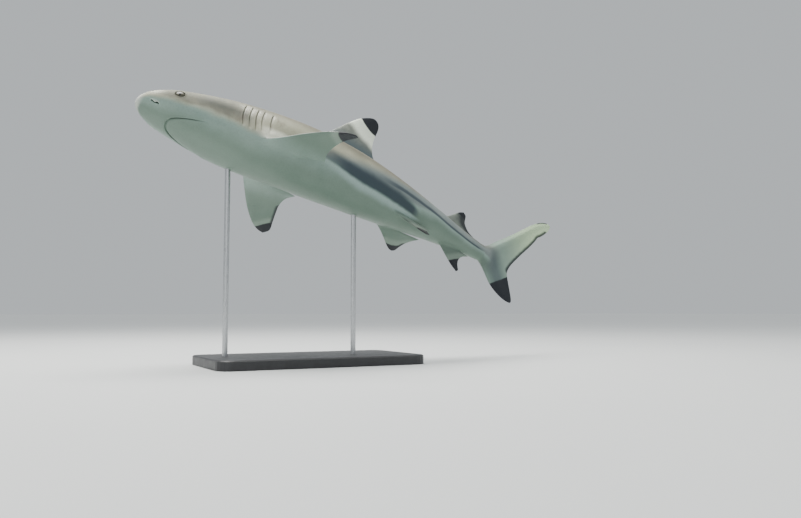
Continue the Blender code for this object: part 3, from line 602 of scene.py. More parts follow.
# ------------------------------------------------------------------ fins grown from the skin
TAU = np.array([0.16, 0.32, 0.48, 0.64, 0.80, 1.0])
for w in wings:
    f, u, uu = w['f'], w['u'], w['uu']
    v_top = 0.062 if f['ref'] > 8 else 0.10
    span = 1-(1-np.linspace(0, 1, f['rows']+1)[1:])**1.8
    v_rows = v_top+(0.997-v_top)*span
    v_rows[np.argmin(np.abs(v_rows-LOBE))] = LOBE
    v_all = np.concatenate([[0.0], v_top*TAU**2, v_rows])
    faces, xh, chord, rad = fin_faces(f, u, v_all)
    loops = np.concatenate([faces[0][0], faces[1][0][:, -2:0:-1]], 1)      # span rows x loop
    flat = np.concatenate([xh, xh[:, -2:0:-1]], 1)
    foot = body(w['root'][:, 0], w['root'][:, 1])[0]
    lift = foot-loops[0]
    ring = np.array([ids[i, j] for i, j in w['loop']])
    (ax, ah), (bx, bh) = f['mark']
    L = np.hypot(bx-ax, bh-ah)
    tip = ((flat[..., 0]-ax)*(-(bh-ah))+(flat[..., 1]-ah)*(bx-ax))/L
    share = ((flat[..., 0]-ax)*(bx-ax)+(flat[..., 1]-ah)*(bh-ah))/L**2
    tip = tip+f.get('bow', 0)*(1-(2*np.clip(share, 0, 1)-1)**2)
    rim = (1-uu)[None]*chord
    growing = np.concatenate([np.ones(len(u)), np.zeros(len(u)-2)])     # 1 on the face toward growing angle
    growing[[0, len(u)-1]] = 0.5
    under = {'pectoral_fin_left': 1-growing, 'pelvic_fin_left': 1-growing, 'pectoral_fin_right': growing,
             'pelvic_fin_right': growing, 'anal_fin': 0.8+0*growing}.get(w['name'], 0*growing)
    if 'pelvic' in w['name']:
        under = np.maximum(under, 0.85)
    # painted shade over the left pelvic fin's upper face and leading edge, which catch the top light
    shade = 0.52*np.maximum(growing, uu < 0.08) if w['name'] == 'pelvic_fin_left' else 0*growing
    for r, v in enumerate(v_all):
        if r == 0:
            continue
        if r <= len(TAU):
            tau = TAU[r-1]
            q = w['root']+w['step']*(1-tau)**2
            B = body(q[:, 0], q[:, 1])[0]
            P = B+loops[r]-loops[0]
            fin = ease(tau, 0.1, 1.0)
            q_at = q
        else:
            P = loops[r]+lift*(1-ease(v, v_top, v_top+0.1))
            fin = 1.0
            q_at = np.stack([flat[r, :, 0], w['root'][:, 1]], -1)
        m = marks(q_at[:, 0], q_at[:, 1])
        m['band'] = m['band']+0*m['band']
        new = net.add(P, fin=fin, tip=tip[r], rim=np.clip(rim[r]/max(f['rim'], 0.01), 0, 9)+9*(1-ease(flat[r, :, 1]/f['ref'], *f.get('rim_from', (0.25, 0.55)))) if f['rim'] else 9+0*uu,
                      ray=flat[r, :, 1]/f['ref'], lobe=np.full(len(uu), 1.0 if w['name'] == 'first_dorsal_fin' else 0.0), under=under, chord=uu, dark=shade*ease(v, 0.06, 0.35), **m)
        net.strip(ring, new)
        ring = new
    end = fin_mid(f, *curve(f['le'], [1.0])[0])
    pole = net.add(end, fin=1, tip=tip[-1].max(), st=f['le'][-1][0], an=90, ray=1)[0]
    for k in range(len(ring)):
        net.F.append((pole, ring[k], ring[(k+1) % len(ring)]))

# ------------------------------------------------------------------ eye openings with lids, and nostrils
eye_frames = {}
for p in pockets:
    ring = np.array([ids[i, j] for i, j in p['loop']])
    xc, th, r_c, e0 = p['xc'], p['th'], p['r'], p['e0']
    e = 0.05
    along = unit(skin(xc+e, th)-skin(xc-e, th))
    around = unit(skin(xc, th+.01)-skin(xc, th-.01))
    out = unit(np.cross(along, around))
    if out[1]*p['s'] < 0:
        out = -out
    if p['kind'] == 'eye':
        up = np.cross(along, out)
        if up[2] < 0:
            up = -up
        eye_frames[p['s']] = (skin(xc, th)-out*EYE_DEPTH, along, out, up)
        upper = np.clip(-p['s']*e0[:, 1]/EYE_OPEN[1], -1, 1)        # +1 at the top lid
        # third value of each row: painted shade, deepening into the eye pocket
        rows = [(1.24, 0.015, 0), (1.14, 0.045, 0), (1.07, 0.080, 0.0), (1.02, 0.092, 0.0), (0.985, 0.075, 0.10), (0.965, 0.03, 0.30),
                (0.965, -0.05, 0.6), (0.985, -0.15, 0.9), (1.02, -0.30, 1), (0.98, -0.60, 1), (0.75, -0.95, 1), (0.4, -1.2, 1)]
        for sc, rise, pocket_shade in rows:
            q = np.stack([xc+sc*e0[:, 0], th+sc*e0[:, 1]/r_c], -1)
            B = body(q[:, 0], q[:, 1])[0]
            lid = 1+0.55*upper*(rise > 0)
            inward = 0.075*np.clip(upper, 0, 1)**2*ease(-sc, -1.10, -0.98)*(rise > -0.01)
            B = B+(inward*EYE_OPEN[1])[:, None]*(-up)
            new = net.add(B+out*(rise*lid)[:, None], dark=pocket_shade*0.9, **marks(q[:, 0], q[:, 1]))
            net.strip(ring, new)
            ring = new
        # painted shade at the bottom of the eye pocket
        pole = net.add(skin(xc, th)-out*1.3, dark=1, st=xc, an=86)[0]
    else:
        # pocket under a small front flap
        t_ax = np.array([np.cos(p['s']*NOSE_TILT), np.sin(p['s']*NOSE_TILT)])
        lengthwise = e0 @ t_ax/0.78
        across = e0 @ np.array([-t_ax[1], t_ax[0]])*p['s']
        front = np.clip(-across/0.23, -1, 1)                       # +1 on the snout side
        # third value of each row: painted shade, deepening into the nostril pocket; the fourth folds the flap over it
        rows = [(0.13, 0.022, 0, .10), (0.07, 0.040, 0, .35), (0.02, 0.044, 0.0, .75), (0.0, 0.030, 0.1, 1), (-0.012, -0.005, 0.6, .97),
                (-0.015, -0.05, 0.9, .55), (-0.02, -0.13, 1, 0), (-0.02, -0.25, 1, 0), (-0.05, -0.36, 1, 0), (-0.12, -0.42, 1, 0)]
        flap = 0.27*np.exp(-((lengthwise+0.10)/0.42)**2)*np.clip(front, 0, 1)
        o2 = outward(e0)
        for wide, rise, pocket_shade, fold in rows:
            e1 = e0+o2*wide
            e1 = e1*(1-0.10*ease(-wide, 0, 0.12))
            e1 = e1+(flap*fold)[:, None]*np.array([-t_ax[1], t_ax[0]])*p['s']
            q = np.stack([xc+e1[:, 0], th+e1[:, 1]/r_c], -1)
            B = body(q[:, 0], q[:, 1])[0]
            # painted shade into the pocket, lighter under the flap, and a painted highlight on the flap's snout side
            new = net.add(B+out*(rise+(0.02*front if rise > 0 else 0*front))[:, None], dark=0.55*pocket_shade*(1-0.8*fold*(flap > 0.05)),
                          pale=fold*np.clip(front*1.6+0.2, 0, 1), **marks(q[:, 0], q[:, 1]))
            net.strip(ring, new)
            ring = new
        # painted shade at the bottom of the nostril pocket
        pole = net.add(skin(xc, th)-out*0.44, dark=1, st=xc, an=112)[0]
    for k in range(len(ring)):
        net.F.append((pole, ring[k], ring[(k+1) % len(ring)]))

# ------------------------------------------------------------------ tail fin: the body's rings fan out over both lobes
C_UP = [(76.2, 1.9), (78.0, 3.0), (80.2, 4.9), (84.4, 8.4), (87.4, 11.0), (91.1, 14.3), (93.2, 15.9), (95.4, 16.95), (96.7, 17.05), (97.2, 16.5)]
C_LO = [(75.6, -2.1), (76.9, -4.3), (78.4, -6.6), (80.2, -7.95), (82.0, -8.75), (83.6, -9.05), (84.55, -8.9), (84.75, -8.1), (84.4, -6.0),
        (83.85, -3.5), (83.6, -1.8), (84.4, 0.1), (87.2, 3.9), (91.0, 8.6), (92.6, 10.8), (93.2, 11.75), (94.0, 12.35), (95.3, 13.6),
        (96.6, 15.2), (97.2, 16.5)]
NI, NJ = 84, 33
w = np.linspace(0, 1, NI)
s_lo = np.interp(w, [0, 0.13, 0.20, 0.27, 0.41, 0.46, 0.78, 0.83, 0.88, 1.0], [0, 0.17, 0.24, 0.30, 0.43, 0.475, 0.80, 0.835, 0.875, 1])
s_up = np.interp(w, [0, 0.13, 0.27, 0.46, 0.80, 1.0], [0, 0.10, 0.20, 0.36, 0.78, 1])
k = np.ones(5)/5
for s in (s_lo, s_up):
    s[2:-2] = np.convolve(s, k, 'valid')
U, Lo = curve(C_UP, s_up), curve(C_LO, s_lo)
q = np.linspace(0, 1, NJ)
G = U[:, None]*(1-q[None, :, None])+Lo[:, None]*q[None, :, None]
for _ in range(2500):                            # elliptic smoothing keeps the fan of rings from folding at the fork
    xi = (G[2:, 1:-1]-G[:-2, 1:-1])/2
    et = (G[1:-1, 2:]-G[1:-1, :-2])/2
    a, b, c = (et**2).sum(-1)[..., None], (xi*et).sum(-1)[..., None], (xi**2).sum(-1)[..., None]
    cross = G[2:, 2:]-G[:-2, 2:]-G[2:, :-2]+G[:-2, :-2]
    new = (a*(G[2:, 1:-1]+G[:-2, 1:-1])+c*(G[1:-1, 2:]+G[1:-1, :-2])-b/2*cross)/(2*(a+c))
    G[1:-1, 1:-1] += 0.9*(new-G[1:-1, 1:-1])

last = skin(XB[-1], TH0)
z_top, z_bot = last[0, 2], last[C//2, 2]
frac = (z_top-last[:, 2])/(z_top-z_bot)
side = np.sign(np.round(last[:, 1], 9))
round_y = np.abs(last[:, 1])/np.abs(last[:, 1]).max()
outline = np.vstack([curve(C_UP, np.linspace(0, 1, 400)), curve(C_LO, np.linspace(1, 0, 700))])
AXIS = curve([(75.9, 0.0), (78.6, 1.5), (82.0, 4.7), (86.0, 8.6), (90.0, 12.4), (94.0, 15.5), (96.6, 16.7)], np.linspace(0, 1, 300))
AXIS_L = np.concatenate([[0], np.cumsum(np.linalg.norm(np.diff(AXIS, axis=0), axis=1))])
LOW_AXIS = curve([(77.2, -1.5), (79.6, -4.9), (82.4, -7.7), (84.1, -8.6)], np.linspace(0, 1, 120))
TOP_EDGE = curve(C_UP, np.linspace(0.83, 0.945, 60))
# painted shade over the middle of the tail's foot, where the lower lobe leaves the body
HUB_SHADE = curve([(79.1, -1.1), (79.8, -2.8), (80.9, -5.0)], np.linspace(0, 1, 60))     # dusky middle of the tail's foot
MARK_TOP, MARK_BOT = (78.45, -6.6), (83.6, -2.8)   # where the black of the lower lobe begins


def distance(pts, line):
    d = np.linalg.norm(pts[..., None, :]-line, axis=-1)
    i = d.argmin(-1)
    return np.take_along_axis(d, i[..., None], -1)[..., 0], i


def tail_half(pts, edge):
    d, i = distance(pts, AXIS)
    s = AXIS_L[i]
    core = np.interp(s, [0, 3, 6, 12, 20, 26], [1.22, 0.92, 0.62, 0.36, 0.17, 0.05])
    wide = np.interp(s, [0, 4, 10, 20, 26], [1.7, 2.0, 1.5, 0.9, 0.5])
    e, j = distance(pts, LOW_AXIS)
    low = np.interp(j/119, [0, .5, 1], [0.42, 0.26, 0.06])
    t = core*np.exp(-(d/wide)**2)+low*np.exp(-(e/1.7)**2)
    t = t*ease(edge, -0.25, 1.0)**0.8
    return (t+EDGE)*np.sqrt(np.clip(1-(1-np.clip(edge/(EDGE*1.2), 0, 1))**2, 0, 1))


ring = ids[R-1]
for i in range(NI-1):
    line = np.stack([np.interp(frac, q, G[i, :, k]) for k in (0, 1)], -1)
    edge = distance(line, outline)[0]
    edge = np.minimum(edge, np.minimum(frac, 1-frac)*np.linalg.norm(U[i]-Lo[i]))
    gap = np.linalg.norm(G[i].mean(0)-G[0].mean(0))
    m = ease(gap, 0.0, 3.6)
    wide = np.abs(last[:, 1]).max()*(1-0.055*gap)
    t = (1-m)*wide*round_y+m*tail_half(line, edge)
    P = np.stack([line[:, 0], side*t, line[:, 1]], -1)
    (ax, az), (bx, bz) = MARK_TOP, MARK_BOT
    L = np.hypot(bx-ax, bz-az)
    low_tip = -((line[:, 0]-ax)*(-(bz-az))+(line[:, 1]-az)*(bx-ax))/L
    low_tip = np.where(line[:, 1] < 0.5, low_tip, -9)
    top_tip = 0.26-distance(line, TOP_EDGE)[0]
    trail = distance(line, curve(C_LO, np.linspace(0.47, 0.93, 900)))[0]/0.66
    along = np.linalg.norm(line-np.array([76.0, 0]), axis=-1)
    new = net.add(P, fin=ease(along, 1.0, 5.5), tip=np.maximum(low_tip, top_tip), rim=np.where(line[:, 1] > -3.0, trail, 9), tail=ease(along, 1.5, 7.0),
                  st=np.minimum(line[:, 0], 76.2+0*line[:, 0]), an=np.degrees(np.arccos(1-2*frac)),
                  line=np.clip(np.degrees(np.arccos(1-2*frac))-109, -60, 60)+along*4, ray=along/25,
                  hub=np.clip(1-distance(line, HUB_SHADE)[0]/4.6, 0, 1)*ease(along, 0.3, 3.2))
    net.strip(ring, new)
    ring = new
pole = net.add([(97.2, 0, 16.5)], fin=1, tail=1, st=76.2, an=90, rim=9, ray=1.07)[0]
for k in range(C):
    net.F.append((pole, ring[k], ring[(k+1) % C]))


def mesh_object(name, P, F, smooth=True):
    me = bpy.data.meshes.new(name)
    me.from_pydata([tuple(p) for p in P], [], [tuple(int(i) for i in f) for f in F])
    bm = bmesh.new()
    bm.from_mesh(me)
    bmesh.ops.recalc_face_normals(bm, faces=bm.faces)
    if bm.calc_volume(signed=True) < 0:
        bmesh.ops.reverse_faces(bm, faces=bm.faces)
    bm.to_mesh(me)
    bm.free()
    me.polygons.foreach_set('use_smooth', [smooth]*len(me.polygons))
    ob = bpy.data.objects.new(name, me)
    bpy.context.scene.collection.objects.link(ob)
    return ob


VP, VA = np.vstack(net.P), np.vstack(net.A)
shark_skin = mesh_object('shark_skin', pose(VP), net.F)
for k, key in enumerate(Net.KEYS):
    at = shark_skin.data.attributes.new(key, 'FLOAT', 'POINT')
    at.data.foreach_set('value', VA[:, k].astype(np.float32))


# ------------------------------------------------------------------ shader shorthand
class Shade:
    """A Principled material built with short calls; every method gives back a socket."""

    def __init__(self, name, **plain):
        self.m = bpy.data.materials.new(name)
        self.m.use_nodes = True
        self.t = self.m.node_tree
        self.b = self.t.nodes['Principled BSDF']
        for k, v in plain.items():
            self.b.inputs[k.replace('_', ' ')].default_value = v

    def _in(self, sock, v):
        if isinstance(v, bpy.types.NodeSocket):
            self.t.links.new(v, sock)
        elif isinstance(v, (tuple, list)):
            sock.default_value = (*v, 1) if len(v) == 3 and len(sock.default_value) == 4 else v
        else:
            sock.default_value = v

    def attr(self, name):
        n = self.t.nodes.new('ShaderNodeAttribute')
        n.attribute_name = name
        return n.outputs['Fac']

    def math(self, op, a, b=0.0, clamp=False):
        n = self.t.nodes.new('ShaderNodeMath')
        n.operation, n.use_clamp = op, clamp
        self._in(n.inputs[0], a)
        self._in(n.inputs[1], b)
        return n.outputs[0]

    def ease(self, v, a, b, lo=0.0, hi=1.0):
        n = self.t.nodes.new('ShaderNodeMapRange')
        n.interpolation_type = 'SMOOTHSTEP'
        self._in(n.inputs['Value'], v)
        for k, x in (('From Min', a), ('From Max', b), ('To Min', lo), ('To Max', hi)):
            n.inputs[k].default_value = x
        return n.outputs['Result']

    def mix(self, fac, a, b, how='MIX'):
        n = self.t.nodes.new('ShaderNodeMix')
        n.data_type, n.blend_type = 'RGBA', how
        self._in(n.inputs[0], fac)
        self._in(n.inputs[6], a)
        self._in(n.inputs[7], b)
        return n.outputs[2]

    def noise(self, scale, detail=3.0, rough=0.5, stretch=None, out='Fac'):
        c = self.t.nodes.new('ShaderNodeTexCoord').outputs['Object']
        if stretch:
            mp = self.t.nodes.new('ShaderNodeMapping')
            mp.inputs['Scale'].default_value = stretch
            mp.inputs['Rotation'].default_value = (0, -PITCH, 0)
            self.t.links.new(c, mp.inputs['Vector'])
            c = mp.outputs['Vector']
        n = self.t.nodes.new('ShaderNodeTexNoise')
        n.inputs['Scale'].default_value = scale
        n.inputs['Detail'].default_value = detail
        n.inputs['Roughness'].default_value = rough
        self.t.links.new(c, n.inputs['Vector'])
        return n.outputs[out]

    def cells(self, scale):
        c = self.t.nodes.new('ShaderNodeTexCoord').outputs['Object']
        n = self.t.nodes.new('ShaderNodeTexVoronoi')
        n.inputs['Scale'].default_value = scale
        self.t.links.new(c, n.inputs['Vector'])
        return n.outputs['Distance']

    def grain(self, x, y, scale):
        v = self.t.nodes.new('ShaderNodeCombineXYZ')
        self._in(v.inputs[0], x)
        self._in(v.inputs[1], y)
        n = self.t.nodes.new('ShaderNodeTexNoise')
        n.inputs['Scale'].default_value = scale
        n.inputs['Detail'].default_value = 3.0
        self.t.links.new(v.outputs[0], n.inputs['Vector'])
        return n.outputs['Fac']

    def bump(self, height, strength, distance, before=None):
        n = self.t.nodes.new('ShaderNodeBump')
        n.inputs['Strength'].default_value = strength
        n.inputs['Distance'].default_value = distance
        self._in(n.inputs['Height'], height)
        if before is not None:
            self.t.links.new(before, n.inputs['Normal'])
        return n.outputs['Normal']

    def set(self, **kw):
        for k, v in kw.items():
            self._in(self.b.inputs[k.replace('_', ' ')], v)


# ------------------------------------------------------------------ shark skin: back, flank, belly, bands and tips
def skin_material():
    s = Shade('shark_skin', Specular_IOR_Level=0.32)
    st, an = s.attr('st'), s.attr('an')
    cloud = s.noise(7.0, 4, 0.55)
    fine = s.noise(60.0, 4, 0.6)
    speck = s.noise(260.0, 3, 0.6)
    wob = s.math('SUBTRACT', s.noise(15.0, 3, 0.5), 0.5)
    ripple = s.math('SUBTRACT', s.noise(75.0, 2, 0.5), 0.5)
    # angle from the back where the pale belly begins, as a curve over the stations
    shift = s.t.nodes.new('ShaderNodeFloatCurve')
    shift.inputs['Factor'].default_value = 1
    s.t.links.new(s.math('DIVIDE', st, 80.0), shift.inputs['Value'])
    cv = shift.mapping.curves[0]
    pts = [(0.0, 0.56), (0.06, 0.575), (0.11, 0.585), (0.19, 0.60), (0.25, 0.635), (0.33, 0.61), (0.42, 0.60), (0.55, 0.60), (0.66, 0.58),
           (0.72, 0.50), (0.78, 0.48), (0.83, 0.53), (0.90, 0.585), (1.0, 0.61)]
    while len(cv.points) < len(pts):
        cv.points.new(0.5, 0.5)
    for p, (x, y) in zip(cv.points, pts):
        p.location = (x, y)
    shift.mapping.update()
    border = s.math('MULTIPLY', shift.outputs['Value'], 180.0)
    rel = s.math('ADD', s.math('SUBTRACT', an, border), s.math('MULTIPLY', wob, 20.0))
    back = s.mix(s.ease(cloud, 0.35, 0.7), (0.125, 0.118, 0.082), (0.185, 0.176, 0.125))
    rear = s.ease(s.math('ADD', st, s.math('MULTIPLY', s.math('SUBTRACT', an, 80.0), 0.45)), 32.0, 47.0)
    tan = s.mix(s.ease(cloud, 0.35, 0.7), (0.300, 0.298, 0.215), (0.425, 0.422, 0.318))
    slate = s.mix(s.ease(cloud, 0.35, 0.7), (0.150, 0.185, 0.182), (0.210, 0.248, 0.238))
    flank = s.mix(rear, tan, slate)
    # belly: its own pale colour with painted shade, darkened to a sage green and darkest along the middle of the belly
    belly_painted_shade = s.mix(s.ease(cloud, 0.3, 0.7), (0.120, 0.180, 0.142), (0.146, 0.212, 0.169))
    edge_side = s.mix(s.ease(cloud, 0.3, 0.7), (0.232, 0.322, 0.282), (0.275, 0.370, 0.325))
    shaded_belly = s.mix(s.ease(rel, 2.0, 40.0), edge_side, belly_painted_shade)
    cap = s.math('MULTIPLY', s.math('MULTIPLY', s.ease(st, 2.6, 5.2), s.ease(s.math('ADD', st, s.math('MULTIPLY', wob, 5.0)), 18.0, 13.5)), s.ease(rel, 2.0, -9.0))
    back = s.mix(rear, back, (0.128, 0.140, 0.122))
    c = s.mix(s.ease(rel, -64.0, -30.0), back, flank)
    c = s.mix(s.math('MULTIPLY', cap, 0.80), c, s.mix(s.ease(fine, 0.35, 0.7), (0.105, 0.108, 0.084), (0.150, 0.148, 0.112)))
    c = s.mix(s.ease(rel, -7.0, 8.0), c, shaded_belly)
    # painted highlight: pale snout tip, reaching further back on its lower side
    c = s.mix(s.math('MULTIPLY', s.ease(s.math('ADD', s.math('ADD', st, s.math('MULTIPLY', wob, 1.6)), s.math('MULTIPLY', s.math('MULTIPLY', s.math('MAXIMUM', s.math('SUBTRACT', an, 84.0), 0.0), 0.034), s.ease(st, 0.0, 1.6))), 2.6, 0.2), 0.80), c, (0.680, 0.700, 0.630))
    c = s.mix(s.math('MULTIPLY', s.math('MULTIPLY', s.attr('stripe'), s.ease(fine, 0.1, 0.75, 1.0, 0.72)), 0.92), c, (0.062, 0.068, 0.056))
    # upright smudges over the gills, longer than they are wide
    smudge = s.grain(s.math('MULTIPLY', st, 1.15), s.math('MULTIPLY', an, 0.045), 1.0)
    over_gills = s.math('MULTIPLY', s.ease(s.math('ABSOLUTE', s.math('SUBTRACT', st, 20.0)), 6.5, 3.0), s.ease(s.math('ABSOLUTE', s.math('SUBTRACT', an, 88.0)), 30.0, 12.0))
    c = s.mix(s.math('MULTIPLY', s.math('MULTIPLY', s.ease(smudge, 0.48, 0.68), over_gills), 0.50), c, (0.115, 0.092, 0.066))
    # pale patch before the foot of the pectoral fins: partly pale skin, partly a painted highlight
    pale_highlight_patch = s.math('MULTIPLY', s.ease(s.math('ABSOLUTE', s.math('SUBTRACT', st, 23.4)), 3.6, 0.9), s.ease(s.math('ABSOLUTE', s.math('SUBTRACT', an, 108.0)), 14.0, 4.0))
    c = s.mix(s.math('MULTIPLY', pale_highlight_patch, 0.90), c, (0.860, 0.860, 0.720))
    # dark band along the lower flank with a soft upper edge, pale zone under it, thin dusky line over the tail
    band = s.math('ADD', s.attr('band'), s.math('ADD', s.math('MULTIPLY', wob, 0.55), s.math('MULTIPLY', ripple, 0.12)))
    grow = s.ease(st, 28.5, 38.5)
    dark_band = s.math('MULTIPLY', s.ease(band, 1.15, 0.60), s.ease(band, -1.75, -0.35))
    dark_band = s.math('MULTIPLY', s.math('MULTIPLY', dark_band, grow), s.ease(s.math('ADD', st, s.math('MULTIPLY', wob, 3.0)), 56.2, 53.6))
    under_band = s.math('MULTIPLY', s.ease(band, 0.7, 1.2), s.ease(band, 2.3, 1.2))
    c = s.mix(s.math('MULTIPLY', s.math('MULTIPLY', under_band, 0.65), s.math('MULTIPLY', grow, s.ease(st, 57.0, 53.0))), c, (0.360, 0.480, 0.460))
    c = s.mix(s.math('MULTIPLY', dark_band, 0.96), c, (0.030, 0.048, 0.062))
    line = s.math('ADD', s.attr('line'), s.math('MULTIPLY', wob, 5.0))
    dusk = s.math('MULTIPLY', s.math('MULTIPLY', s.ease(line, 8.5, 3.0), s.ease(line, -12.0, -2.0)), s.math('MULTIPLY', s.ease(st, 43.0, 50.0), s.ease(st, 76.1, 73.2)))
    c = s.mix(s.math('MULTIPLY', dusk, 0.92), c, (0.038, 0.055, 0.070))
    # fins: dusky above, beneath the belly colour with its painted shade, black at the tips
    fin, tip, rim, tail, under = s.attr('fin'), s.attr('tip'), s.attr('rim'), s.attr('tail'), s.attr('under')
    web = s.mix(s.attr('lobe'), s.mix(s.ease(fine, 0.35, 0.65), (0.118, 0.140, 0.122), (0.160, 0.184, 0.160)),
                s.mix(s.ease(fine, 0.35, 0.65), (0.185, 0.200, 0.170), (0.235, 0.250, 0.212)))
    foot = s.math('MULTIPLY', s.ease(s.attr('ray'), 0.55, 0.10), s.attr('lobe'))
    web = s.mix(s.math('MULTIPLY', foot, 0.92), web, (0.060, 0.090, 0.104))
    # fin faces beneath take the belly's painted shade
    web = s.mix(under, web, s.mix(s.ease(s.attr('ray'), 0.05, 0.4), shaded_belly, belly_painted_shade))
    c = s.mix(s.math('MULTIPLY', fin, s.math('SUBTRACT', 1.0, tail)), c, web)
    lobe_c = s.mix(s.ease(s.attr('ray'), 0.22, 0.85), (0.220, 0.300, 0.250), (0.440, 0.570, 0.370))
    hub = s.ease(s.attr('hub'), 0.0, 0.92)
    c = s.mix(tail, c, lobe_c)
    # painted shade over the tail's foot
    c = s.mix(s.math('MULTIPLY', hub, 0.88), c, (0.078, 0.108, 0.112))
    edge = s.math('ADD', tip, s.math('MULTIPLY', ripple, 0.22))
    band1 = s.math('MULTIPLY', s.ease(edge, -4.1, -2.3), s.attr('lobe'))
    c = s.mix(s.math('MULTIPLY', band1, s.ease(fin, 0.5, 1.0)), c, (0.800, 0.860, 0.730))
    halo = s.math('MULTIPLY', s.ease(edge, -1.8, -0.7), fin)
    c = s.mix(s.math('MULTIPLY', s.math('MULTIPLY', halo, 0.16), s.math('SUBTRACT', 1.0, s.ease(tail, 0.2, 0.8))), c, (0.560, 0.640, 0.540))
    black = s.ease(edge, -0.12, 0.16)
    margin = s.ease(s.math('ADD', rim, s.math('MULTIPLY', ripple, 0.35)), 1.35, 0.45)
    ink = s.math('MULTIPLY', s.math('MAXIMUM', black, s.math('MULTIPLY', margin, 0.90)), s.ease(fin, 0.4, 0.9))
    c = s.mix(ink, c, s.mix(fine, (0.006, 0.008, 0.012), (0.014, 0.017, 0.023)))
    # grain of the denticles, finer on the tail fin, pores under the snout, painted shade in creases, slits and pockets
    coarse = s.ease(tail, 1.0, 0.0, 0.2, 1.0)
    c = s.mix(s.math('MULTIPLY', s.math('MULTIPLY', s.ease(speck, 0.42, 0.72), 0.13), coarse), c, (0.07, 0.07, 0.06))
    pores = s.math('MULTIPLY', s.ease(s.cells(260.0), 0.17, 0.08), s.math('MULTIPLY', s.ease(st, 8.0, 5.0), s.ease(s.noise(34.0, 2, 0.5), 0.50, 0.60)))
    c = s.mix(s.math('MULTIPLY', pores, 0.45), c, (0.07, 0.07, 0.06))
    # painted highlight on the nostril flap
    c = s.mix(s.math('MULTIPLY', s.attr('pale'), 0.90), c, (0.660, 0.730, 0.640))
    crease_shade = s.attr('dark')
    # painted shade: near black in the creases, slits and pockets, and over the left pelvic fin's upper face
    c = s.mix(s.ease(crease_shade, 0.15, 0.95, 0.0, 0.85), c, (0.035, 0.034, 0.030))
    n = s.bump(s.math('MULTIPLY', s.cells(900.0), coarse), 0.16, 0.0006)
    n = s.bump(fine, 0.08, 0.0016, n)
    n = s.bump(pores, 0.3, -0.0005, n)
    rays = s.grain(s.math('MULTIPLY', s.attr('chord'), 42.0), s.math('MULTIPLY', s.attr('ray'), 2.2), 1.0)
    n = s.bump(s.math('MULTIPLY', rays, s.math('MULTIPLY', s.ease(s.attr('ray'), 0.15, 0.5), s.math('SUBTRACT', 1.0, tail))), 0.35, 0.0009, n)
    rough = s.math('ADD', s.math('ADD', s.ease(fine, 0.3, 0.7, 0.40, 0.50), s.math('MULTIPLY', crease_shade, 0.2)), s.math('MULTIPLY', cap, 0.30))
    s.set(Base_Color=c, Roughness=rough, Normal=n)
    return s.m


shark_skin.data.materials.append(skin_material())

# ------------------------------------------------------------------ eyes
def eye_material():
    s = Shade('eye', Coat_Weight=0.45, Coat_Roughness=0.04, Coat_IOR=1.33, Roughness=0.45, Specular_IOR_Level=0.15)
    r, turn, slit = s.attr('er'), s.attr('et'), s.attr('slit')
    rays = s.t.nodes.new('ShaderNodeTexNoise')
    rays.noise_dimensions = '1D'
    rays.inputs['Scale'].default_value = 9.0
    rays.inputs['Detail'].default_value = 5.0
    s.t.links.new(turn, rays.inputs['W'])
    iris = s.mix(s.ease(rays.outputs['Fac'], 0.3, 0.7), (0.034, 0.034, 0.024), (0.092, 0.088, 0.060))
    iris = s.mix(s.ease(r, 0.14, 0.44), (0.120, 0.112, 0.076), iris)
    iris = s.mix(s.ease(r, 0.60, 0.86), iris, (0.030, 0.032, 0.028))
    c = s.mix(s.ease(slit, 1.08, 0.92), iris, (0.003, 0.003, 0.004))
    s.set(Base_Color=c)
    return s.m


m_eye = eye_material()
for sgn, tag in ((-1, 'left'), (1, 'right')):
    centre, along, out, up = eye_frames[sgn]
    n, m = 56, 30
    V, at = [centre+out*EYE_R[1]], [(0, 0, 0)]
    for i in range(1, m):
        a = 0.5*pi*(i/m*2) if i < m else pi
        for j in range(n):
            b = 2*pi*j/n
            V.append(centre+out*EYE_R[1]*np.cos(a)+(along*EYE_R[0]*np.cos(b)+up*EYE_R[2]*np.sin(b))*np.sin(a))
            x, y = np.cos(b)*np.sin(a), np.sin(b)*np.sin(a)
            far = np.hypot(x, y) if a < pi/2 else 2
            at.append((far, b, np.hypot(x/0.17, y/0.58) if a < pi/2 else 9))
    V.append(centre-out*EYE_R[1])
    at.append((2, 0, 9))
    F = [(0, 1+j, 1+(j+1) % n) for j in range(n)]
    F += [(1+(i-1)*n+j, 1+i*n+j, 1+i*n+(j+1) % n, 1+(i-1)*n+(j+1) % n) for i in range(1, m-1) for j in range(n)]
    F += [(len(V)-1, 1+(m-2)*n+(j+1) % n, 1+(m-2)*n+j) for j in range(n)]
    ob = mesh_object('eyeball_'+tag, pose(np.array(V)), F)
    for k, key in enumerate(('er', 'et', 'slit')):
        la = ob.data.attributes.new(key, 'FLOAT', 'POINT')
        la.data.foreach_set('value', np.array(at, np.float32)[:, k])
    ob.data.materials.append(m_eye)
    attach(ob, 'root')
    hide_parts('eye_'+tag)

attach(shark_skin, 'root')
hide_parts('head', 'lower_jaw', 'trunk', 'tail', 'caudal_fin_upper', 'caudal_fin_lower', *FINS)


# ------------------------------------------------------------------ stand: satin black base, brushed steel rods
def base_material():
    s = Shade('stand_base', Specular_IOR_Level=0.5)
    a, b = s.noise(55.0, 5, 0.6), s.noise(420.0, 4, 0.6)
    s.set(Base_Color=s.mix(s.ease(a, 0.3, 0.7), (0.026, 0.026, 0.028), (0.036, 0.036, 0.039)),
          Roughness=s.ease(a, 0.25, 0.75, 0.38, 0.52), Normal=s.bump(b, 0.12, 0.0004))
    return s.m


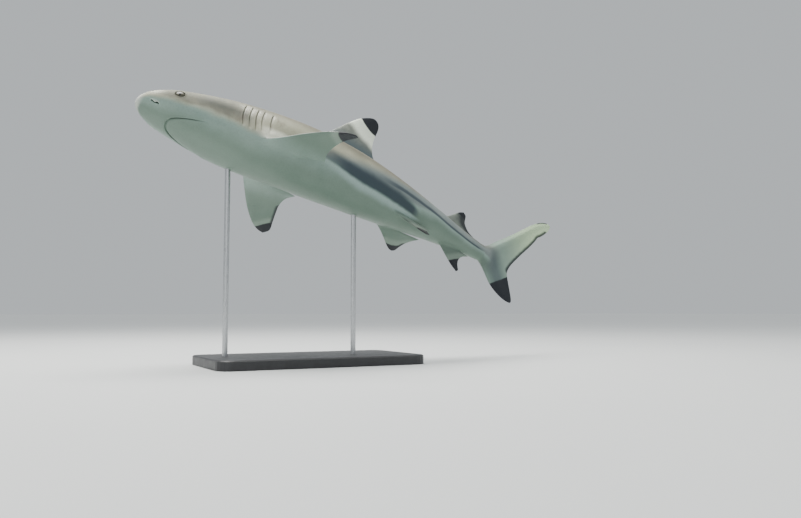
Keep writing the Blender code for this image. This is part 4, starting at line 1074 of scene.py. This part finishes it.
def rod_material():
    s = Shade('stand_rod', Metallic=1.0)
    a = s.noise(90.0, 5, 0.6, stretch=(14, 14, 0.5))
    s.set(Base_Color=s.mix(a, (0.46, 0.47, 0.48), (0.66, 0.67, 0.68)), Roughness=s.ease(a, 0.3, 0.7, 0.24, 0.38), Normal=s.bump(a, 0.10, 0.0002))
    return s.m


for name, mat, sl in (('stand_base', base_material(), 'stand_base'), ('stand_rod_front', rod_material(), 'stand_rod'), ('stand_rod_rear', rod_material(), 'stand_rod')):
    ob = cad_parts[name]
    ob.data.materials.clear()
    ob.data.materials.append(mat)

# ------------------------------------------------------------------ studio
floor = mesh_object('studio_floor', [(-40, -40, 0), (40, -40, 0), (40, 40, 0), (-40, 40, 0)], [(0, 1, 2, 3)], False)
fm = Shade('studio_floor', Roughness=0.85, Specular_IOR_Level=0.2)
fm.set(Base_Color=fm.mix(fm.ease(fm.noise(1.2, 4, 0.5), 0.3, 0.7), (0.578, 0.592, 0.592), (0.592, 0.606, 0.602)), Normal=fm.bump(fm.noise(160.0, 4, 0.6), 0.05, 0.0008))
floor.data.materials.append(fm.m)

world = bpy.data.worlds.new('studio')
world.use_nodes = True
world.node_tree.nodes['Background'].inputs['Color'].default_value = (0.82, 0.87, 0.90, 1)
world.node_tree.nodes['Background'].inputs['Strength'].default_value = 0.66
bpy.context.scene.world = world


def area(name, place, at, size, power, colour=(1, 1, 1)):
    la = bpy.data.lights.new(name, 'AREA')
    la.shape, la.size, la.size_y, la.energy, la.color = 'RECTANGLE', size[0], size[1], power, colour
    ob = bpy.data.objects.new(name, la)
    bpy.context.scene.collection.objects.link(ob)
    ob.location = place
    ob.rotation_euler = (Vector(at)-Vector(place)).to_track_quat('-Z', 'Y').to_euler()
    return ob


area('key', (-0.55, 0.55, 3.1), (0.15, 0.0, 0.5), (2.2, 1.6), 225, (1.0, 0.985, 0.94))
area('front_fill', (-2.2, -2.4, 1.2), (0.0, 0.0, 0.5), (2.2, 1.6), 10, (0.95, 0.98, 1.0))
sky = bpy.data.lights.new('sky', 'SUN')
sky.energy, sky.angle = 1.35, radians(35)
sky_ob = bpy.data.objects.new('sky', sky)
bpy.context.scene.collection.objects.link(sky_ob)
sky_ob.rotation_euler = (radians(-6), radians(8), 0)

cam = bpy.data.cameras.new('camera')
cam.sensor_width, cam.sensor_fit, cam.lens = 36.0, 'HORIZONTAL', 750/801*36
camera = bpy.data.objects.new('camera', cam)
bpy.context.scene.collection.objects.link(camera)
camera.location = (-0.7381, -1.8838, 0.1397)
camera.rotation_euler = (radians(94.0), 0.0, radians(-28.302))
bpy.context.scene.camera = camera
